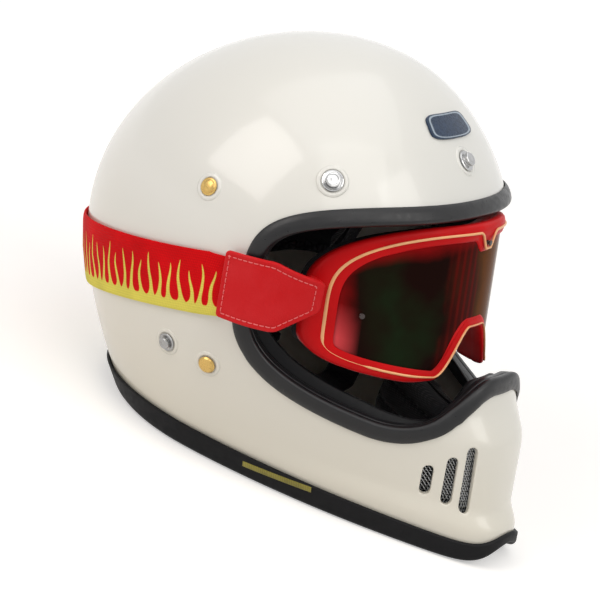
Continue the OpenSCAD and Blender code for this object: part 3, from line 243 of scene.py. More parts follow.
def base_lift(phi):
    """Rise of the base edge towards the tip of the chin."""
    return np.where(phi > 180, 0.0, g.chin_lift * np.exp(-(((phi - 90) / g.lift_phi) ** 2)))


def base_edge(phi):
    """Upper edge of the base trim."""
    return g.base_h + g.base_arch * np.cos(np.radians(phi)) ** 2 + g.lift_top * base_lift(phi)


def port_z(u, top):
    """Height of the eyeport's edge, u from -1 to 1 across it."""
    a = np.minimum(1, np.abs(u))
    e = (1 - a**g.port_corner) ** (1 / g.port_corner)
    low = -g.port_chin - g.port_cheek * smooth((a - g.port_flat) / g.port_blend)
    return g.port_mid + e * np.where(top, g.port_rise - g.port_fall * a * a, low)


def edge_steps(n):
    """Steps round an edge: u from -1 to 1 over the top and back below, and which steps are on top."""
    t = np.arange(n) * 360.0 / n
    top = t < 180
    return np.where(top, np.sin(np.radians(t - 90)), np.sin(np.radians(270 - t))), top


def profiles(profile, n):
    """A profile for each of n places, from one for all of them or from a list."""
    return np.broadcast_to(np.asarray(profile, float), (n,) + np.shape(profile)[-2:])


def port_curve(n):
    """Section angles and heights round the eyeport's edge."""
    u, top = edge_steps(n)
    z = port_z(u, top)
    return np.stack([90 + u * (g.port_half + g.port_slant * (z - g.port_mid)), z], -1)


def port_rings(n, profile):
    """Rings beside the eyeport's edge, from a profile or a list of them of (along the shell, out of it)."""
    uv = port_curve(n)
    p = shell_pt(uv[:, 0], uv[:, 1])
    normal = shell_n(uv[:, 0], uv[:, 1])
    along = unit(np.roll(p, -1, 0) - np.roll(p, 1, 0))
    k = shell_step(uv[:, 0], uv[:, 1], unit(np.cross(along, normal)))
    prof = profiles(profile, n)
    q = uv[:, None, :] + prof[:, :, :1] * k[:, None, :]
    return shell_at(q[..., 0], q[..., 1], prof[..., 1])


# Shape of the goggles

LENS_BACK = np.array([0, math.cos(math.radians(g.lens_lean)), -math.sin(math.radians(g.lens_lean))])


def lens_pt(x, s):
    """Surface of the lens: x across, s up along it."""
    lean = math.radians(g.lens_lean)
    y = -g.lens_fwd + g.lens_wrap * (np.abs(x) / g.lens_w) ** g.lens_curve + s * math.sin(lean)
    return np.stack(np.broadcast_arrays(x, y, g.lens_z + s * math.cos(lean)), -1)


def lens_s(u, top):
    """Height of the lens edge along the lens, u from -1 to 1 across it."""
    a = np.minimum(1, np.abs(u))
    p = np.where(top, g.lens_top_square, g.lens_low_square)
    e = (1 - a**p) ** (1 / p)
    low = g.nose_rise - (g.nose_rise + g.lens_drop) * smooth((a - g.nose_half) / g.nose_slope)
    return -g.lens_mid + e * np.where(top, g.lens_rise - g.lens_fall * a**g.lens_fall_curve, low)


def notch(x, depth, width):
    """Dip of the upper lens edge round the middle post."""
    return depth * (1 - smooth((np.abs(x) - 0.3 * width) / (0.7 * width)))


def lens_edge(n, dip=0.0, width=11.0):
    """Points (x, s) round the lens and the directions out of it."""
    u, top = edge_steps(n)
    q = np.stack([-u * g.lens_w, lens_s(u, top)], -1)
    if dip:
        q[:, 1] -= np.where(top, notch(q[:, 0], dip, width), 0)
    d = np.roll(q, -1, 0) - np.roll(q, 1, 0)
    return q, unit(np.stack([d[:, 1], -d[:, 0]], -1))


def lens_rings(n, profile, dip=0.0):
    """Rings beside the lens edge, narrower over the nose: profile of (outwards, towards the face)."""
    q, out = lens_edge(n, dip)
    prof = profiles(profile, n)
    above = q[:, 1] > -g.lens_mid + g.nose_rise + 2
    narrow = 0.5 + 0.5 * smooth((np.abs(q[:, 0]) / g.lens_w - 0.3) / 0.3)
    fit = np.where(above, 1.0, narrow)
    b = np.where(prof[..., 0] > 0, prof[..., 0] * fit[:, None], prof[..., 0])
    p = q[:, None, :] + b[..., None] * out[:, None, :]
    return lens_pt(p[..., 0], p[..., 1]) + prof[..., 1:2] * LENS_BACK


def strap_mid(y):
    """Height of the middle of the strap at a distance behind the crown axis."""
    return g.strap_z - g.strap_drop * (y + g.strap_z_fwd)


def patch_pt(t, b, off):
    """Point of the strap's end patch: t 0 at the frame and 1 over the strap, b up it, off out of it."""
    t, b, off = np.broadcast_arrays(np.asarray(t, float), np.asarray(b, float), np.asarray(off, float))
    edge = float(side_x(g.lug_fwd - g.patch_len, np.float64(g.widest_z)))
    reach = edge + g.strap_gap + g.strap_t + g.patch_gap - g.lug_x

    def way(k):
        """Path of the patch, seen from above."""
        return np.stack([-g.lug_x - reach * (1 - (1 - k) ** g.patch_turn), g.patch_len * k - g.lug_fwd], -1)

    q, d = way(t), way(t + 0.02) - way(t - 0.02)
    out = unit(np.stack([-d[..., 1], d[..., 0]], -1))
    z = g.patch_z + b + g.patch_fall * g.patch_len * (1 - t)
    return np.stack([q[..., 0] + out[..., 0] * off, q[..., 1] + out[..., 1] * off, z], -1)


# Mesh making


def quads(n, m, closed=False, wrap=True):
    """Faces between n rings of m points."""
    i = np.arange(n if closed else n - 1)[:, None]
    j = np.arange(m if wrap else m - 1)[None, :]
    k, h = (i + 1) % n, (j + 1) % m
    corners = np.broadcast_arrays(i * m + j, i * m + h, k * m + h, k * m + j)
    return np.stack(corners, -1).reshape(-1, 4).tolist()


def make(name, points, faces, uv=None, sharp=38.0, mirror=False):
    """Mesh object from points in millimetres about the crown axis."""
    p = np.array(points, float).reshape(-1, 3)
    p[:, 1] += AXIS_Y
    if mirror:
        p[:, 0] *= -1
    mesh = bpy.data.meshes.new(name)
    mesh.from_pydata((p * MM).tolist(), [], faces)
    if uv is not None:
        index = np.empty(len(mesh.loops), np.int32)
        mesh.loops.foreach_get("vertex_index", index)
        layer = mesh.uv_layers.new(name="way")
        layer.data.foreach_set("uv", np.asarray(uv, np.float32).reshape(-1, 2)[index].ravel())
    bm = bmesh.new()
    bm.from_mesh(mesh)
    bmesh.ops.recalc_face_normals(bm, faces=bm.faces[:])
    bm.to_mesh(mesh)
    bm.free()
    mesh.polygons.foreach_set("use_smooth", np.ones(len(mesh.polygons), bool))
    mesh.set_sharp_from_angle(angle=math.radians(sharp))
    obj = bpy.data.objects.new(name, mesh)
    bpy.context.scene.collection.objects.link(obj)
    return obj


def sweep(name, rings, closed=False, uv=None, **options):
    """Tube through rings of points, with flat ends if it is open."""
    rings = np.asarray(rings, float)
    n, m = rings.shape[:2]
    faces = quads(n, m, closed)
    if not closed:
        faces += [list(range(m))[::-1], list(range((n - 1) * m, n * m))]
    return make(name, rings, faces, uv, **options)


def tubes(name, paths, radius, sides=6, **options):
    """Round tubes along several polylines, as one mesh."""
    points, faces, base = [], [], 0
    ring = np.linspace(0, 2 * np.pi, sides, endpoint=False)
    for path in paths:
        path = np.asarray(path, float)
        t = unit(np.gradient(path, axis=0))
        ref = np.where(np.abs(t[:, 2:3]) < 0.8, [[0, 0, 1.0]], [[1.0, 0, 0]])
        a = unit(np.cross(t, ref))
        b = np.cross(t, a)
        n = len(path)
        around = np.cos(ring)[None, :, None] * a[:, None] + np.sin(ring)[None, :, None] * b[:, None]
        points.append((path[:, None] + radius * around).reshape(-1, 3))
        faces += [[base + v for v in f] for f in quads(n, sides)]
        faces += [[base + v for v in range(sides)][::-1], [base + (n - 1) * sides + v for v in range(sides)]]
        base += n * sides
    return make(name, np.concatenate(points), faces, **options)


def run_of(path):
    """Distance along a polyline at each of its points."""
    return np.concatenate([[0], np.cumsum(np.linalg.norm(np.diff(path, axis=0), axis=1))])


def stitches(name, path, normal, length, gap, radius, **options):
    """Row of thread stitches along a polyline, arched over the surface with that normal."""
    path, normal = np.asarray(path, float), np.asarray(normal, float)
    run = run_of(path)
    count = max(1, int(run[-1] // (length + gap)))
    step = run[-1] / count
    parts = []
    for k in range(count):
        s = k * step + np.linspace(0, length, 6)
        p = np.stack([np.interp(s, run, path[:, i]) for i in range(3)], -1)
        v = np.stack([np.interp(s, run, normal[:, i]) for i in range(3)], -1)
        lift = radius * (1.3 * np.sin(np.linspace(0, np.pi, 6)) - 0.5)
        parts.append(p + lift[:, None] * v)
    return tubes(name, parts, radius, sides=6, **options)


def turned_rings(prof, foot, axis, side, down, segments):
    """Rings of a turned profile of (radius, height) that stands on a foot."""
    a = np.linspace(0, 2 * np.pi, segments, endpoint=False)
    around = np.cos(a)[None, :, None] * side + np.sin(a)[None, :, None] * down
    return foot + prof[:, None, 1:2] * axis + prof[:, None, 0:1] * around


def turned(name, profile, phi, z, segments=56, **options):
    """Turned piece standing on the shell, from a profile of (radius, height)."""
    prof = np.asarray(profile, float)
    n = shell_n(phi, z)
    side = unit(np.array([-n[1], n[0], 0.0]))
    return sweep(name, turned_rings(prof, shell_pt(phi, z), n, side, np.cross(side, n), segments), **options)


def rounded(half_a, half_b, m, ea=0.4, eb=0.4):
    """Closed rounded section of m points."""
    a = np.linspace(0, 2 * np.pi, m, endpoint=False)
    return np.stack([half_a * spow(np.cos(a), ea), half_b * spow(np.sin(a), eb)], -1)


def corner(points, radius, steps=4):
    """Closed profile with its corners rounded."""
    pts = np.asarray(points, float)
    out = []
    for prev, p, after in zip(np.roll(pts, 1, 0), pts, np.roll(pts, -1, 0)):
        a, b = prev - p, after - p
        r = min(radius, 0.45 * np.linalg.norm(a), 0.45 * np.linalg.norm(b))
        a, b = p + unit(a) * r, p + unit(b) * r
        for t in np.linspace(0, 1, steps):
            out.append((1 - t) ** 2 * a + 2 * t * (1 - t) * p + t * t * b)
    return np.array(out)


def spline(path, steps):
    """Smooth polyline through the points of a path."""
    p = np.asarray(path, float)
    e = np.concatenate([[2 * p[0] - p[1]], p, [2 * p[-1] - p[-2]]])
    rows = []
    for a, b, c, d in zip(e, e[1:], e[2:], e[3:]):
        for t in np.arange(steps) / steps:
            square, cube = 2 * a - 5 * b + 4 * c - d, 3 * b - a - 3 * c + d
            rows.append(0.5 * (2 * b + (c - a) * t + square * t**2 + cube * t**3))
    return np.array(rows + [p[-1]])


def place(obj, material, slot, body, *nodes):
    """Gives a piece its material and its body, and hides the solids it stands for; its slot is not used."""
    obj.data.materials.clear()
    obj.data.materials.append(material)
    if nodes:
        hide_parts(*nodes)
    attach(obj, body)
    return obj


def coat(node, material):
    """Gives its material to a solid of the frame that stays in sight."""
    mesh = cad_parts[node].data
    mesh.materials.clear()
    mesh.materials.append(material)


def baked(obj):
    """Applies the modifiers of a piece."""
    graph = bpy.context.evaluated_depsgraph_get()
    mesh = bpy.data.meshes.new_from_object(obj.evaluated_get(graph))
    obj.modifiers.clear()
    obj.data = mesh
    mesh.polygons.foreach_set("use_smooth", np.ones(len(mesh.polygons), bool))


def coords(mesh):
    """Vertices of a mesh as an array."""
    co = np.empty(len(mesh.vertices) * 3, np.float32)
    mesh.vertices.foreach_get("co", co)
    return co.reshape(-1, 3).astype(float)


def puff(obj, voxel, cap, pressure=4.0, frames=20):
    """Remeshes a closed cloth form, fills it by simulation, caps how far it moves and smooths it."""
    mod = obj.modifiers.new("remesh", "REMESH")
    mod.mode, mod.voxel_size = "VOXEL", voxel
    baked(obj)
    rest = coords(obj.data)
    cloth = obj.modifiers.new("fill", "CLOTH")
    cloth.settings.use_pressure = True
    cloth.settings.uniform_pressure_force = pressure
    cloth.settings.effector_weights.gravity = 0.0
    cloth.settings.quality = 5
    cloth.point_cache.frame_start, cloth.point_cache.frame_end = 1, frames
    for number in range(1, frames + 1):
        bpy.context.scene.frame_set(number)
    graph = bpy.context.evaluated_depsgraph_get()
    moved = coords(obj.evaluated_get(graph).data)
    obj.modifiers.clear()
    bpy.context.scene.frame_set(1)
    delta = moved - rest - (moved - rest).mean(0)
    size = np.linalg.norm(delta, axis=1, keepdims=True)
    delta *= np.minimum(1.0, cap / np.maximum(size, 1e-9))
    obj.data.vertices.foreach_set("co", (rest + delta).astype(np.float32).ravel())
    mod = obj.modifiers.new("fine", "SUBSURF")
    mod.levels = mod.render_levels = 1
    baked(obj)
    return obj


# Materials


class Shade:
    """One principled material, put together node by node."""

    def __init__(self, name, **sockets):
        self.mat = bpy.data.materials.new(name)
        self.mat.use_nodes = True
        self.tree = self.mat.node_tree
        self.bsdf = self.tree.nodes["Principled BSDF"]
        for key, value in sockets.items():
            self.feed(self.bsdf.inputs[key.replace("_", " ")], value)

    def feed(self, socket, value):
        """Links a socket or sets its value."""
        if isinstance(value, bpy.types.NodeSocket):
            self.tree.links.new(value, socket)
        elif hasattr(value, "__len__") and len(value) == 3 and socket.type == "RGBA":
            socket.default_value = (*value, 1.0)
        else:
            socket.default_value = value

    def node(self, kind, inputs=(), **props):
        """New node with some inputs set by place or name."""
        n = self.tree.nodes.new("ShaderNode" + kind)
        for key, value in props.items():
            setattr(n, key, value)
        for key, value in inputs.items() if isinstance(inputs, dict) else enumerate(inputs):
            self.feed(n.inputs[key], value)
        return n

    def math(self, op, *values):
        """Result of one step of arithmetic on sockets and numbers."""
        return self.node("Math", values, operation=op).outputs[0]

    def add(self, a, b):
        """Sum of two values."""
        return self.math("ADD", a, b)

    def sub(self, a, b):
        """First value less the second."""
        return self.math("SUBTRACT", a, b)

    def mul(self, a, b):
        """Product of two values."""
        return self.math("MULTIPLY", a, b)

    def wave(self, value, turns):
        """Sine wave along a value, with that many radians to the metre."""
        return self.math("SINE", self.mul(value, turns))

    def place(self):
        """Position on the piece itself, in metres."""
        return self.node("TexCoord").outputs["Object"]

    def axes(self):
        """Position on the piece itself as three values."""
        return self.node("SeparateXYZ", [self.place()]).outputs[:3]

    def way(self):
        """Place on the piece's own map: along it and across it."""
        return self.node("SeparateXYZ", [self.node("UVMap", uv_map="way").outputs[0]]).outputs[:2]

    def noise(self, scale, detail=3.0, rough=0.5, vector=None):
        """Noise between 0 and 1."""
        inputs = {"Scale": scale, "Detail": detail, "Roughness": rough, "Vector": vector or self.place()}
        return self.node("TexNoise", inputs).outputs[0]

    def cells(self, scale, feature="F1"):
        """Distances in a pattern of cells."""
        inputs = {"Scale": scale, "Vector": self.place()}
        return self.node("TexVoronoi", inputs, feature=feature).outputs["Distance"]

    def span(self, value, lo, hi, out_lo=0.0, out_hi=1.0):
        """Maps a range of values to another."""
        return self.node("MapRange", [value, lo, hi, out_lo, out_hi]).outputs[0]

    def mix(self, factor, a, b):
        """Mix of two colours."""
        n = self.node("Mix", {0: factor, 6: a, 7: b}, data_type="RGBA")
        return n.outputs[2]

    def colour(self, value):
        """Sets the base colour."""
        self.feed(self.bsdf.inputs["Base Color"], value)

    def rough(self, value):
        """Sets the roughness."""
        self.feed(self.bsdf.inputs["Roughness"], value)

    def bump(self, height, strength, distance):
        """Adds relief, on top of what is there."""
        n = self.node("Bump", {"Strength": strength, "Distance": distance, "Height": height})
        socket = self.bsdf.inputs["Normal"]
        if socket.is_linked:
            self.tree.links.new(socket.links[0].from_socket, n.inputs["Normal"])
        self.tree.links.new(n.outputs[0], socket)


def times(colour, k):
    """Colour made lighter or darker."""
    return tuple(min(1.0, c * k) for c in colour)


def paint(colour):
    """Glossy lacquer with a faint ripple, with painted shade that makes it darker and warmer towards the
    base.
    """
    m = Shade("shell_paint", Coat_Weight=0.6, Coat_Roughness=0.09, Specular_IOR_Level=0.4)
    # Painted shade: a darker, warmer copy of the lacquer colour for the lower part
    base_shade_colour = (colour[0] * 0.985, colour[1] * 0.945, colour[2] * 0.86)
    height = m.axes()[2]
    # Painted shade towards the base, with a little random tone from noise mixed in
    low = m.add(m.span(height, 0.15, 0.02, 0.0, 0.85), m.span(m.noise(7.0), 0.3, 0.7, 0.0, 0.15))
    m.colour(m.mix(low, colour, base_shade_colour))
    m.rough(m.span(m.noise(60.0, 5.0), 0.3, 0.7, 0.28, 0.33))
    m.bump(m.noise(140.0, 2.0), 0.006, 0.0006)
    return m.mat


def rubber(name, colour, rough=0.5, shine=0.12):
    """Satin rubber with a fine grain and patches of dust."""
    m = Shade(name, Specular_IOR_Level=shine)
    dust = m.span(m.noise(70.0, 6.0, 0.6), 0.45, 0.75, 0.0, 0.4)
    m.colour(m.mix(dust, colour, times(colour, 1.8)))
    m.rough(m.span(m.noise(240.0, 4.0), 0.3, 0.7, rough - 0.09, rough + 0.09))
    m.bump(m.cells(1500.0), 0.12, 0.0002)
    m.bump(m.noise(420.0, 5.0), 0.12, 0.0002)
    return m.mat


def cloth(name, colour, pitch=0.0014, fuzz=0.5):
    """Knitted or woven cloth without a map: ribs two ways, fuzz and drifting tone."""
    m = Shade(name, Sheen_Weight=fuzz, Sheen_Roughness=0.4, Specular_IOR_Level=0.2)
    x, y, z = m.axes()
    k = 2 * math.pi / pitch
    one = m.wave(m.add(y, m.mul(x, 0.6)), k)
    two = m.wave(m.sub(z, m.mul(x, 0.6)), k)
    weave = m.span(m.mul(one, two), -1.0, 1.0)
    tone = m.add(m.mul(weave, 0.45), m.span(m.noise(38.0, 5.0), 0.3, 0.7, 0.0, 0.55))
    m.colour(m.mix(tone, times(colour, 0.55), times(colour, 1.7)))
    m.rough(m.span(m.noise(90.0), 0.3, 0.7, 0.8, 0.95))
    m.bump(weave, 0.5, 0.0005)
    m.bump(m.noise(900.0, 4.0), 0.25, 0.0003)
    return m.mat


def webbing(name, colour, pitch=0.0016):
    """Woven band drawn from its own map: cross ribs and a twill along it."""
    m = Shade(name, Sheen_Weight=0.3, Sheen_Roughness=0.4, Specular_IOR_Level=0.25)
    u, v = m.way()
    k = 2 * math.pi / pitch
    twill = m.wave(m.add(u, m.mul(v, 0.8)), k)
    ribs = m.wave(v, k * 0.7)
    weave = m.span(m.mul(twill, ribs), -1.0, 1.0)
    tone = m.add(m.mul(weave, 0.5), m.span(m.noise(60.0, 5.0), 0.3, 0.7, 0.0, 0.5))
    m.colour(m.mix(tone, times(colour, 0.5), times(colour, 1.6)))
    m.rough(m.span(weave, 0.0, 1.0, 0.62, 0.85))
    m.bump(weave, 0.7, 0.0005)
    return m.mat


def foam(name, colour, size):
    """Foam of beads or open cells."""
    m = Shade(name, Specular_IOR_Level=0.25)
    edge = m.cells(1.0 / size, "DISTANCE_TO_EDGE")
    tone = m.add(m.span(edge, 0.0, 0.25, 0.0, 0.6), m.span(m.noise(50.0), 0.3, 0.7, 0.0, 0.4))
    m.colour(m.mix(tone, times(colour, 0.45), times(colour, 1.5)))
    m.rough(m.span(m.noise(160.0), 0.3, 0.7, 0.75, 0.92))
    m.bump(m.span(edge, 0.0, 0.3), 0.7, size * 0.35)
    return m.mat


def metal(name, colour, rough, scale=900.0, dirt=0.25):
    """Metal with fine scratches and patches of grime."""
    m = Shade(name, Metallic=1.0)
    stretch = m.node("VectorMath", [m.place(), (1.0, 1.0, 0.08)], operation="MULTIPLY").outputs[0]
    lines = m.noise(scale, 5.0, 0.6, stretch)
    grime = m.span(m.noise(190.0, 5.0, 0.6), 0.52, 0.78, 0.0, dirt)
    m.colour(m.mix(grime, colour, times(colour, 0.35)))
    m.rough(m.add(m.span(lines, 0.3, 0.7, rough * 0.7, rough * 1.4), m.mul(grime, 0.5)))
    m.bump(lines, 0.06, 0.0001)
    return m.mat


def plastic(name, colour, rough, grain=0.05, shine=0.5):
    """Moulded plastic with a fine texture and tonal drift."""
    m = Shade(name, Specular_IOR_Level=shine)
    tone = m.span(m.noise(24.0, 5.0, 0.55), 0.3, 0.7)
    m.colour(m.mix(tone, times(colour, 0.86), times(colour, 1.1)))
    m.rough(m.span(m.noise(150.0, 5.0), 0.3, 0.7, rough - 0.06, rough + 0.07))
    m.bump(m.noise(1100.0, 4.0), grain, 0.0002)
    return m.mat


def leather(name, colour):
    """Coated leather with pebble grain and paler rubbed patches."""
    m = Shade(name, Specular_IOR_Level=0.12)
    pebble = m.cells(900.0)
    wear = m.span(m.noise(34.0, 5.0, 0.6), 0.4, 0.8, 0.0, 0.6)
    rubbed = (min(1, colour[0] * 1.1), colour[1] * 2 + 0.012, colour[2] * 2 + 0.012)
    m.colour(m.mix(wear, colour, rubbed))
    m.rough(m.span(m.noise(120.0), 0.3, 0.7, 0.4, 0.55))
    m.bump(pebble, 0.25, 0.0003)
    m.bump(m.noise(300.0, 5.0), 0.15, 0.0003)
    return m.mat


def lick_band(red, yellow, width, period):
    """Elastic band in two colours: a foot strip with tapered licks rising from it."""
    m = Shade("strap_band", Sheen_Weight=0.02, Sheen_Roughness=0.4, Specular_IOR_Level=0.06)
    foot_h, lick_h, lean, rib_pitch = 0.16, 0.74, 1.5, 0.0013
    half_w, root_w, root_turn, sway_w = 0.19, 0.31, 4.2, 0.14
    u, v = m.way()
    h = m.math("DIVIDE", v, width)
    run = m.sub(m.math("DIVIDE", u, period), m.mul(h, lean))
    cell = m.math("FLOOR", run)
    across = m.math("FRACT", run)
    tall = m.add(lick_h, m.mul(m.wave(cell, 2.4), 0.08))
    up = m.math("DIVIDE", m.sub(h, foot_h), m.sub(tall, foot_h))
    bend = m.add(m.mul(up, 4.6), m.mul(cell, 1.7))
    sway = m.mul(m.math("SINE", bend), sway_w)
    off = m.math("ABSOLUTE", m.sub(across, m.add(0.5, sway)))
    left = m.math("MAXIMUM", m.sub(1.0, up), 0.0)
    tongue = m.mul(m.math("POWER", left, 0.5), half_w)
    near = m.math("MINIMUM", m.math("MAXIMUM", m.sub(1.0, m.mul(up, root_turn)), 0.0), 1.0)
    arch = m.math("SQRT", m.sub(1.0, m.mul(near, near)))
    root = m.mul(m.sub(1.0, arch), root_w)
    past = m.mul(m.math("MAXIMUM", m.sub(up, 1.0), 0.0), 3.0)
    lick = m.span(m.sub(m.sub(m.add(tongue, root), off), past), -0.02, 0.04)
    foot = m.span(h, foot_h + 0.01, foot_h - 0.01)
    drawn = m.math("MAXIMUM", lick, foot)
    k = 2 * math.pi / rib_pitch
    rib = m.span(m.wave(u, k), -1.0, 1.0)
    cross = m.span(m.wave(v, k * 0.8), -1.0, 1.0)
    weave = m.mul(m.add(rib, cross), 0.5)
    shade = m.add(m.mul(weave, 0.5), m.span(m.noise(45.0, 4.0), 0.3, 0.7, 0.0, 0.5))
    plain = m.mix(shade, times(red, 0.72), times(red, 1.12))
    bright = m.mix(shade, times(yellow, 0.78), times(yellow, 1.08))
    m.colour(m.mix(drawn, plain, bright))
    m.rough(m.span(weave, 0.0, 1.0, 0.55, 0.78))
    m.bump(weave, 0.4, 0.0004)
    m.bump(drawn, 0.15, 0.0002)
    return m.mat


def smoked(colour, painted_sheen):
    """Dark smoked lens with painted light: a painted glow of the red frame round its borders, painted
    reflections (green in the middle, red streaks, a pink patch low at each end) and a painted gold sheen
    across it.
    """
    m = Shade("smoked_lens", IOR=1.45, Specular_IOR_Level=0.015)
    # Colours painted in for light: green and red-streak reflections, the red frame's glow and a pink
    # reflection
    painted_green_reflection, painted_red_streaks = (0.010, 0.021, 0.008), (0.11, 0.006, 0.004)
    painted_frame_glow, painted_pink_reflection = (0.27, 0.005, 0.006), (0.74, 0.075, 0.085)
    band_x = 0.016
    x, _, z = m.axes()
    along, up = m.way()
    stray = m.span(m.noise(30.0, 3.0), 0.3, 0.7, -0.03, 0.03)
    # Mask of the top and the ends of the lens, where the red frame's glow is painted
    top = m.span(m.add(up, stray), 0.87, 1.0)
    ends = m.math("ABSOLUTE", m.sub(along, 0.5))
    end = m.span(m.add(ends, m.mul(stray, 0.5)), 0.44, 0.5)
    border = m.math("MAXIMUM", top, end)
    side = m.math("ABSOLUTE", m.sub(x, band_x))
    drift = m.add(side, m.mul(stray, 0.15))
    # Painted reflection: dark green patches in the middle of the lens
    green_reflection_mask = m.mul(m.span(m.noise(20.0, 3.0), 0.4, 0.65), m.span(drift, 0.092, 0.078))
    body = m.mix(green_reflection_mask, colour, painted_green_reflection)
    # Painted reflection: red streaks in a band beside the gold sheen
    reflection_streaks = m.span(m.wave(side, 1100.0), -0.4, 1.0, 0.45, 1.0)
    band = m.mul(m.mul(m.span(drift, 0.05, 0.038), m.span(drift, 0.014, 0.022)), reflection_streaks)
    red = m.mix(band, body, painted_red_streaks)
    # Painted sheen: a gold band across the lens, for the coating's sheen at a grazing view
    sheened = m.mix(m.span(drift, 0.022, 0.01), red, painted_sheen)
    # Painted glow of the red frame round the top and the ends of the lens
    frame_glow_mixed = m.mix(m.math("POWER", border, 1.4), sheened, painted_frame_glow)
    # Painted reflection: pink patch low at each end of the lens
    low = m.mul(m.span(m.math("ABSOLUTE", x), 0.0735, 0.083), m.span(z, 0.133, 0.112))
    m.colour(m.mix(low, frame_glow_mixed, painted_pink_reflection))
    m.rough(m.span(m.noise(40.0, 5.0), 0.35, 0.75, 0.05, 0.14))
    m.bump(m.noise(25.0), 0.01, 0.001)
    return m.mat


def enamel(colour, edge):
    """Plain enamelled plate with a thin pale line inside its border."""
    m = Shade("plate_enamel", Coat_Weight=0.12, Coat_Roughness=0.12, Specular_IOR_Level=0.15)
    v = m.way()[0]
    line = m.mul(m.span(v, 0.82, 0.85), m.span(v, 0.93, 0.90))
    tone = m.span(m.noise(300.0, 4.0), 0.3, 0.7)
    m.colour(m.mix(line, m.mix(tone, times(colour, 0.8), times(colour, 1.25)), edge))
    m.rough(m.span(m.noise(600.0), 0.3, 0.7, 0.22, 0.34))
    m.bump(line, 0.3, 0.0003)
    return m.mat


# Settings


def colour_of(name, text, value):
    """Colour setting."""
    return FloatVectorProperty(
        name=name, description=text, default=value, size=3, min=0.0, max=1.0, subtype="COLOR"
    )


def length_of(name, text, value):
    """Length setting in metres."""
    return FloatProperty(
        name=name, description=text, default=value, min=0.0001, max=0.2, unit="LENGTH", precision=5
    )


class HelmetColours(bpy.types.PropertyGroup):
    """Colours of the helmet."""

    shell: colour_of("Shell", "Lacquer of the shell", (0.80, 0.79, 0.742))
    rubber: colour_of("Rubber", "Edge trims", (0.009, 0.009, 0.010))
    lining: colour_of("Lining", "Cloth of the pads", (0.022, 0.022, 0.025))
    foam: colour_of("Foam", "Impact liner", (0.05, 0.05, 0.055))
    goggles: colour_of("Goggles", "Goggle frame", (0.60, 0.005, 0.007))
    bead: colour_of("Bead", "Edge of the lens", (0.92, 0.46, 0.20))
    lens: colour_of("Lens", "Smoked lens", (0.012, 0.004, 0.003))
    # Painted sheen: gold colour for the band of sheen across the lens
    painted_sheen: colour_of("Lens tint", "Warm band across the lens", (0.125, 0.036, 0.0015))
    strap: colour_of("Strap", "Ground of the strap", (0.72, 0.004, 0.007))
    licks: colour_of("Licks", "Second colour of the strap", (0.86, 0.76, 0.13))
    patch: colour_of("Patch", "Patches at the strap's ends", (0.62, 0.010, 0.013))
    thread: colour_of("Thread", "Thread on the patches", (0.78, 0.14, 0.14))
    brass: colour_of("Brass", "Rivets", (0.54, 0.36, 0.12))
    chrome: colour_of("Chrome", "Snap studs and rings", (0.80, 0.80, 0.80))
    plate: colour_of("Plate", "Blank plate on the brow", (0.025, 0.045, 0.085))
    tab: colour_of("Tab", "Pull tabs and sewn tag", (0.30, 0.26, 0.05))


class HelmetSizes(bpy.types.PropertyGroup):
    """Sizes of the finer detail."""

    wire_pitch: length_of("Wire pitch", "Distance between the wires of the vent mesh", 0.0026)
    wire_r: length_of("Wire radius", "Radius of the wires of the vent mesh", 0.00034)
    rim: length_of("Rim", "Width of the red rim inside the lens edge", 0.0036)
    notch: length_of("Notch", "Dip of the bead round the middle post", 0.0105)
    lick_period: length_of("Lick period", "Distance between the licks on the strap", 0.0082)
    stitch: length_of("Stitch", "Length of a stitch", 0.0026)
    shell_cols: IntProperty(
        name="Shell columns", description="Columns of the shell's mesh", default=300, min=60, max=600
    )


def settings():
    """Colours and sizes of the scene."""
    scene = bpy.context.scene
    return scene.helmet_colours, scene.helmet_sizes


# Shell


def slot_frame(k):
    """Middle, half length and steps of a vent slot."""
    phi, z = g.vent_phi + k * g.vent_step, g.vent_z - k * g.vent_fall
    n = shell_n(phi, z)
    side = unit(np.array([-n[1], n[0], 0.0]))
    down = np.cross(side, n)
    c, s = math.cos(math.radians(g.vent_lean)), math.sin(math.radians(g.vent_lean))
    steps = np.stack([shell_step(phi, z, c * down + s * side), shell_step(phi, z, c * side - s * down)], -1)
    return np.array([phi, z]), (g.vent_len - k * g.vent_taper) / 2, steps


def slot_outline(local, half, radius):
    """Nearest points on the outline of a slot with round ends."""
    c = np.clip(local[:, 0], -half + g.vent_w / 2, half - g.vent_w / 2)
    d = unit(np.stack([local[:, 0] - c, local[:, 1]], -1))
    return np.stack([c, np.zeros_like(c)], -1) + radius * d


def slot_lean():
    """Middle of the second slot, and its lean in degrees of section angle to the millimetre."""
    middle, _, steps = slot_frame(1)
    return middle, steps[0, 0] / steps[1, 0]


def shell_rows():
    """Heights of the rows of the shell's mesh, up to just under the crown."""
    low = np.concatenate([np.linspace(g.edge_z, 40, 17)[:-1], np.linspace(40, g.widest_z, 37)[:-1]])
    top = g.widest_z + (g.shell_h - g.widest_z) * np.sin(np.radians(np.linspace(0, 88.6, 58)))
    return np.concatenate([low, top])


def shell_grid(rows, cols):
    """Section angles and heights of the mesh: columns lean with the slots and rows rise at the chin."""
    phi, z = np.meshgrid(np.arange(cols) * 360.0 / cols, rows)
    middle, lean = slot_lean()
    for sign, at in ((1, middle[0]), (-1, 180 - middle[0])):
        near = 1 - smooth((np.abs(phi - at) - 10) / 7)
        phi += sign * lean * (z - middle[1]) * near * smooth((z - 8) / 16) * smooth((94 - z) / 18)
    return phi, z + base_lift(phi) * np.maximum(0, 1 - (z - g.edge_z) / g.lift_h)


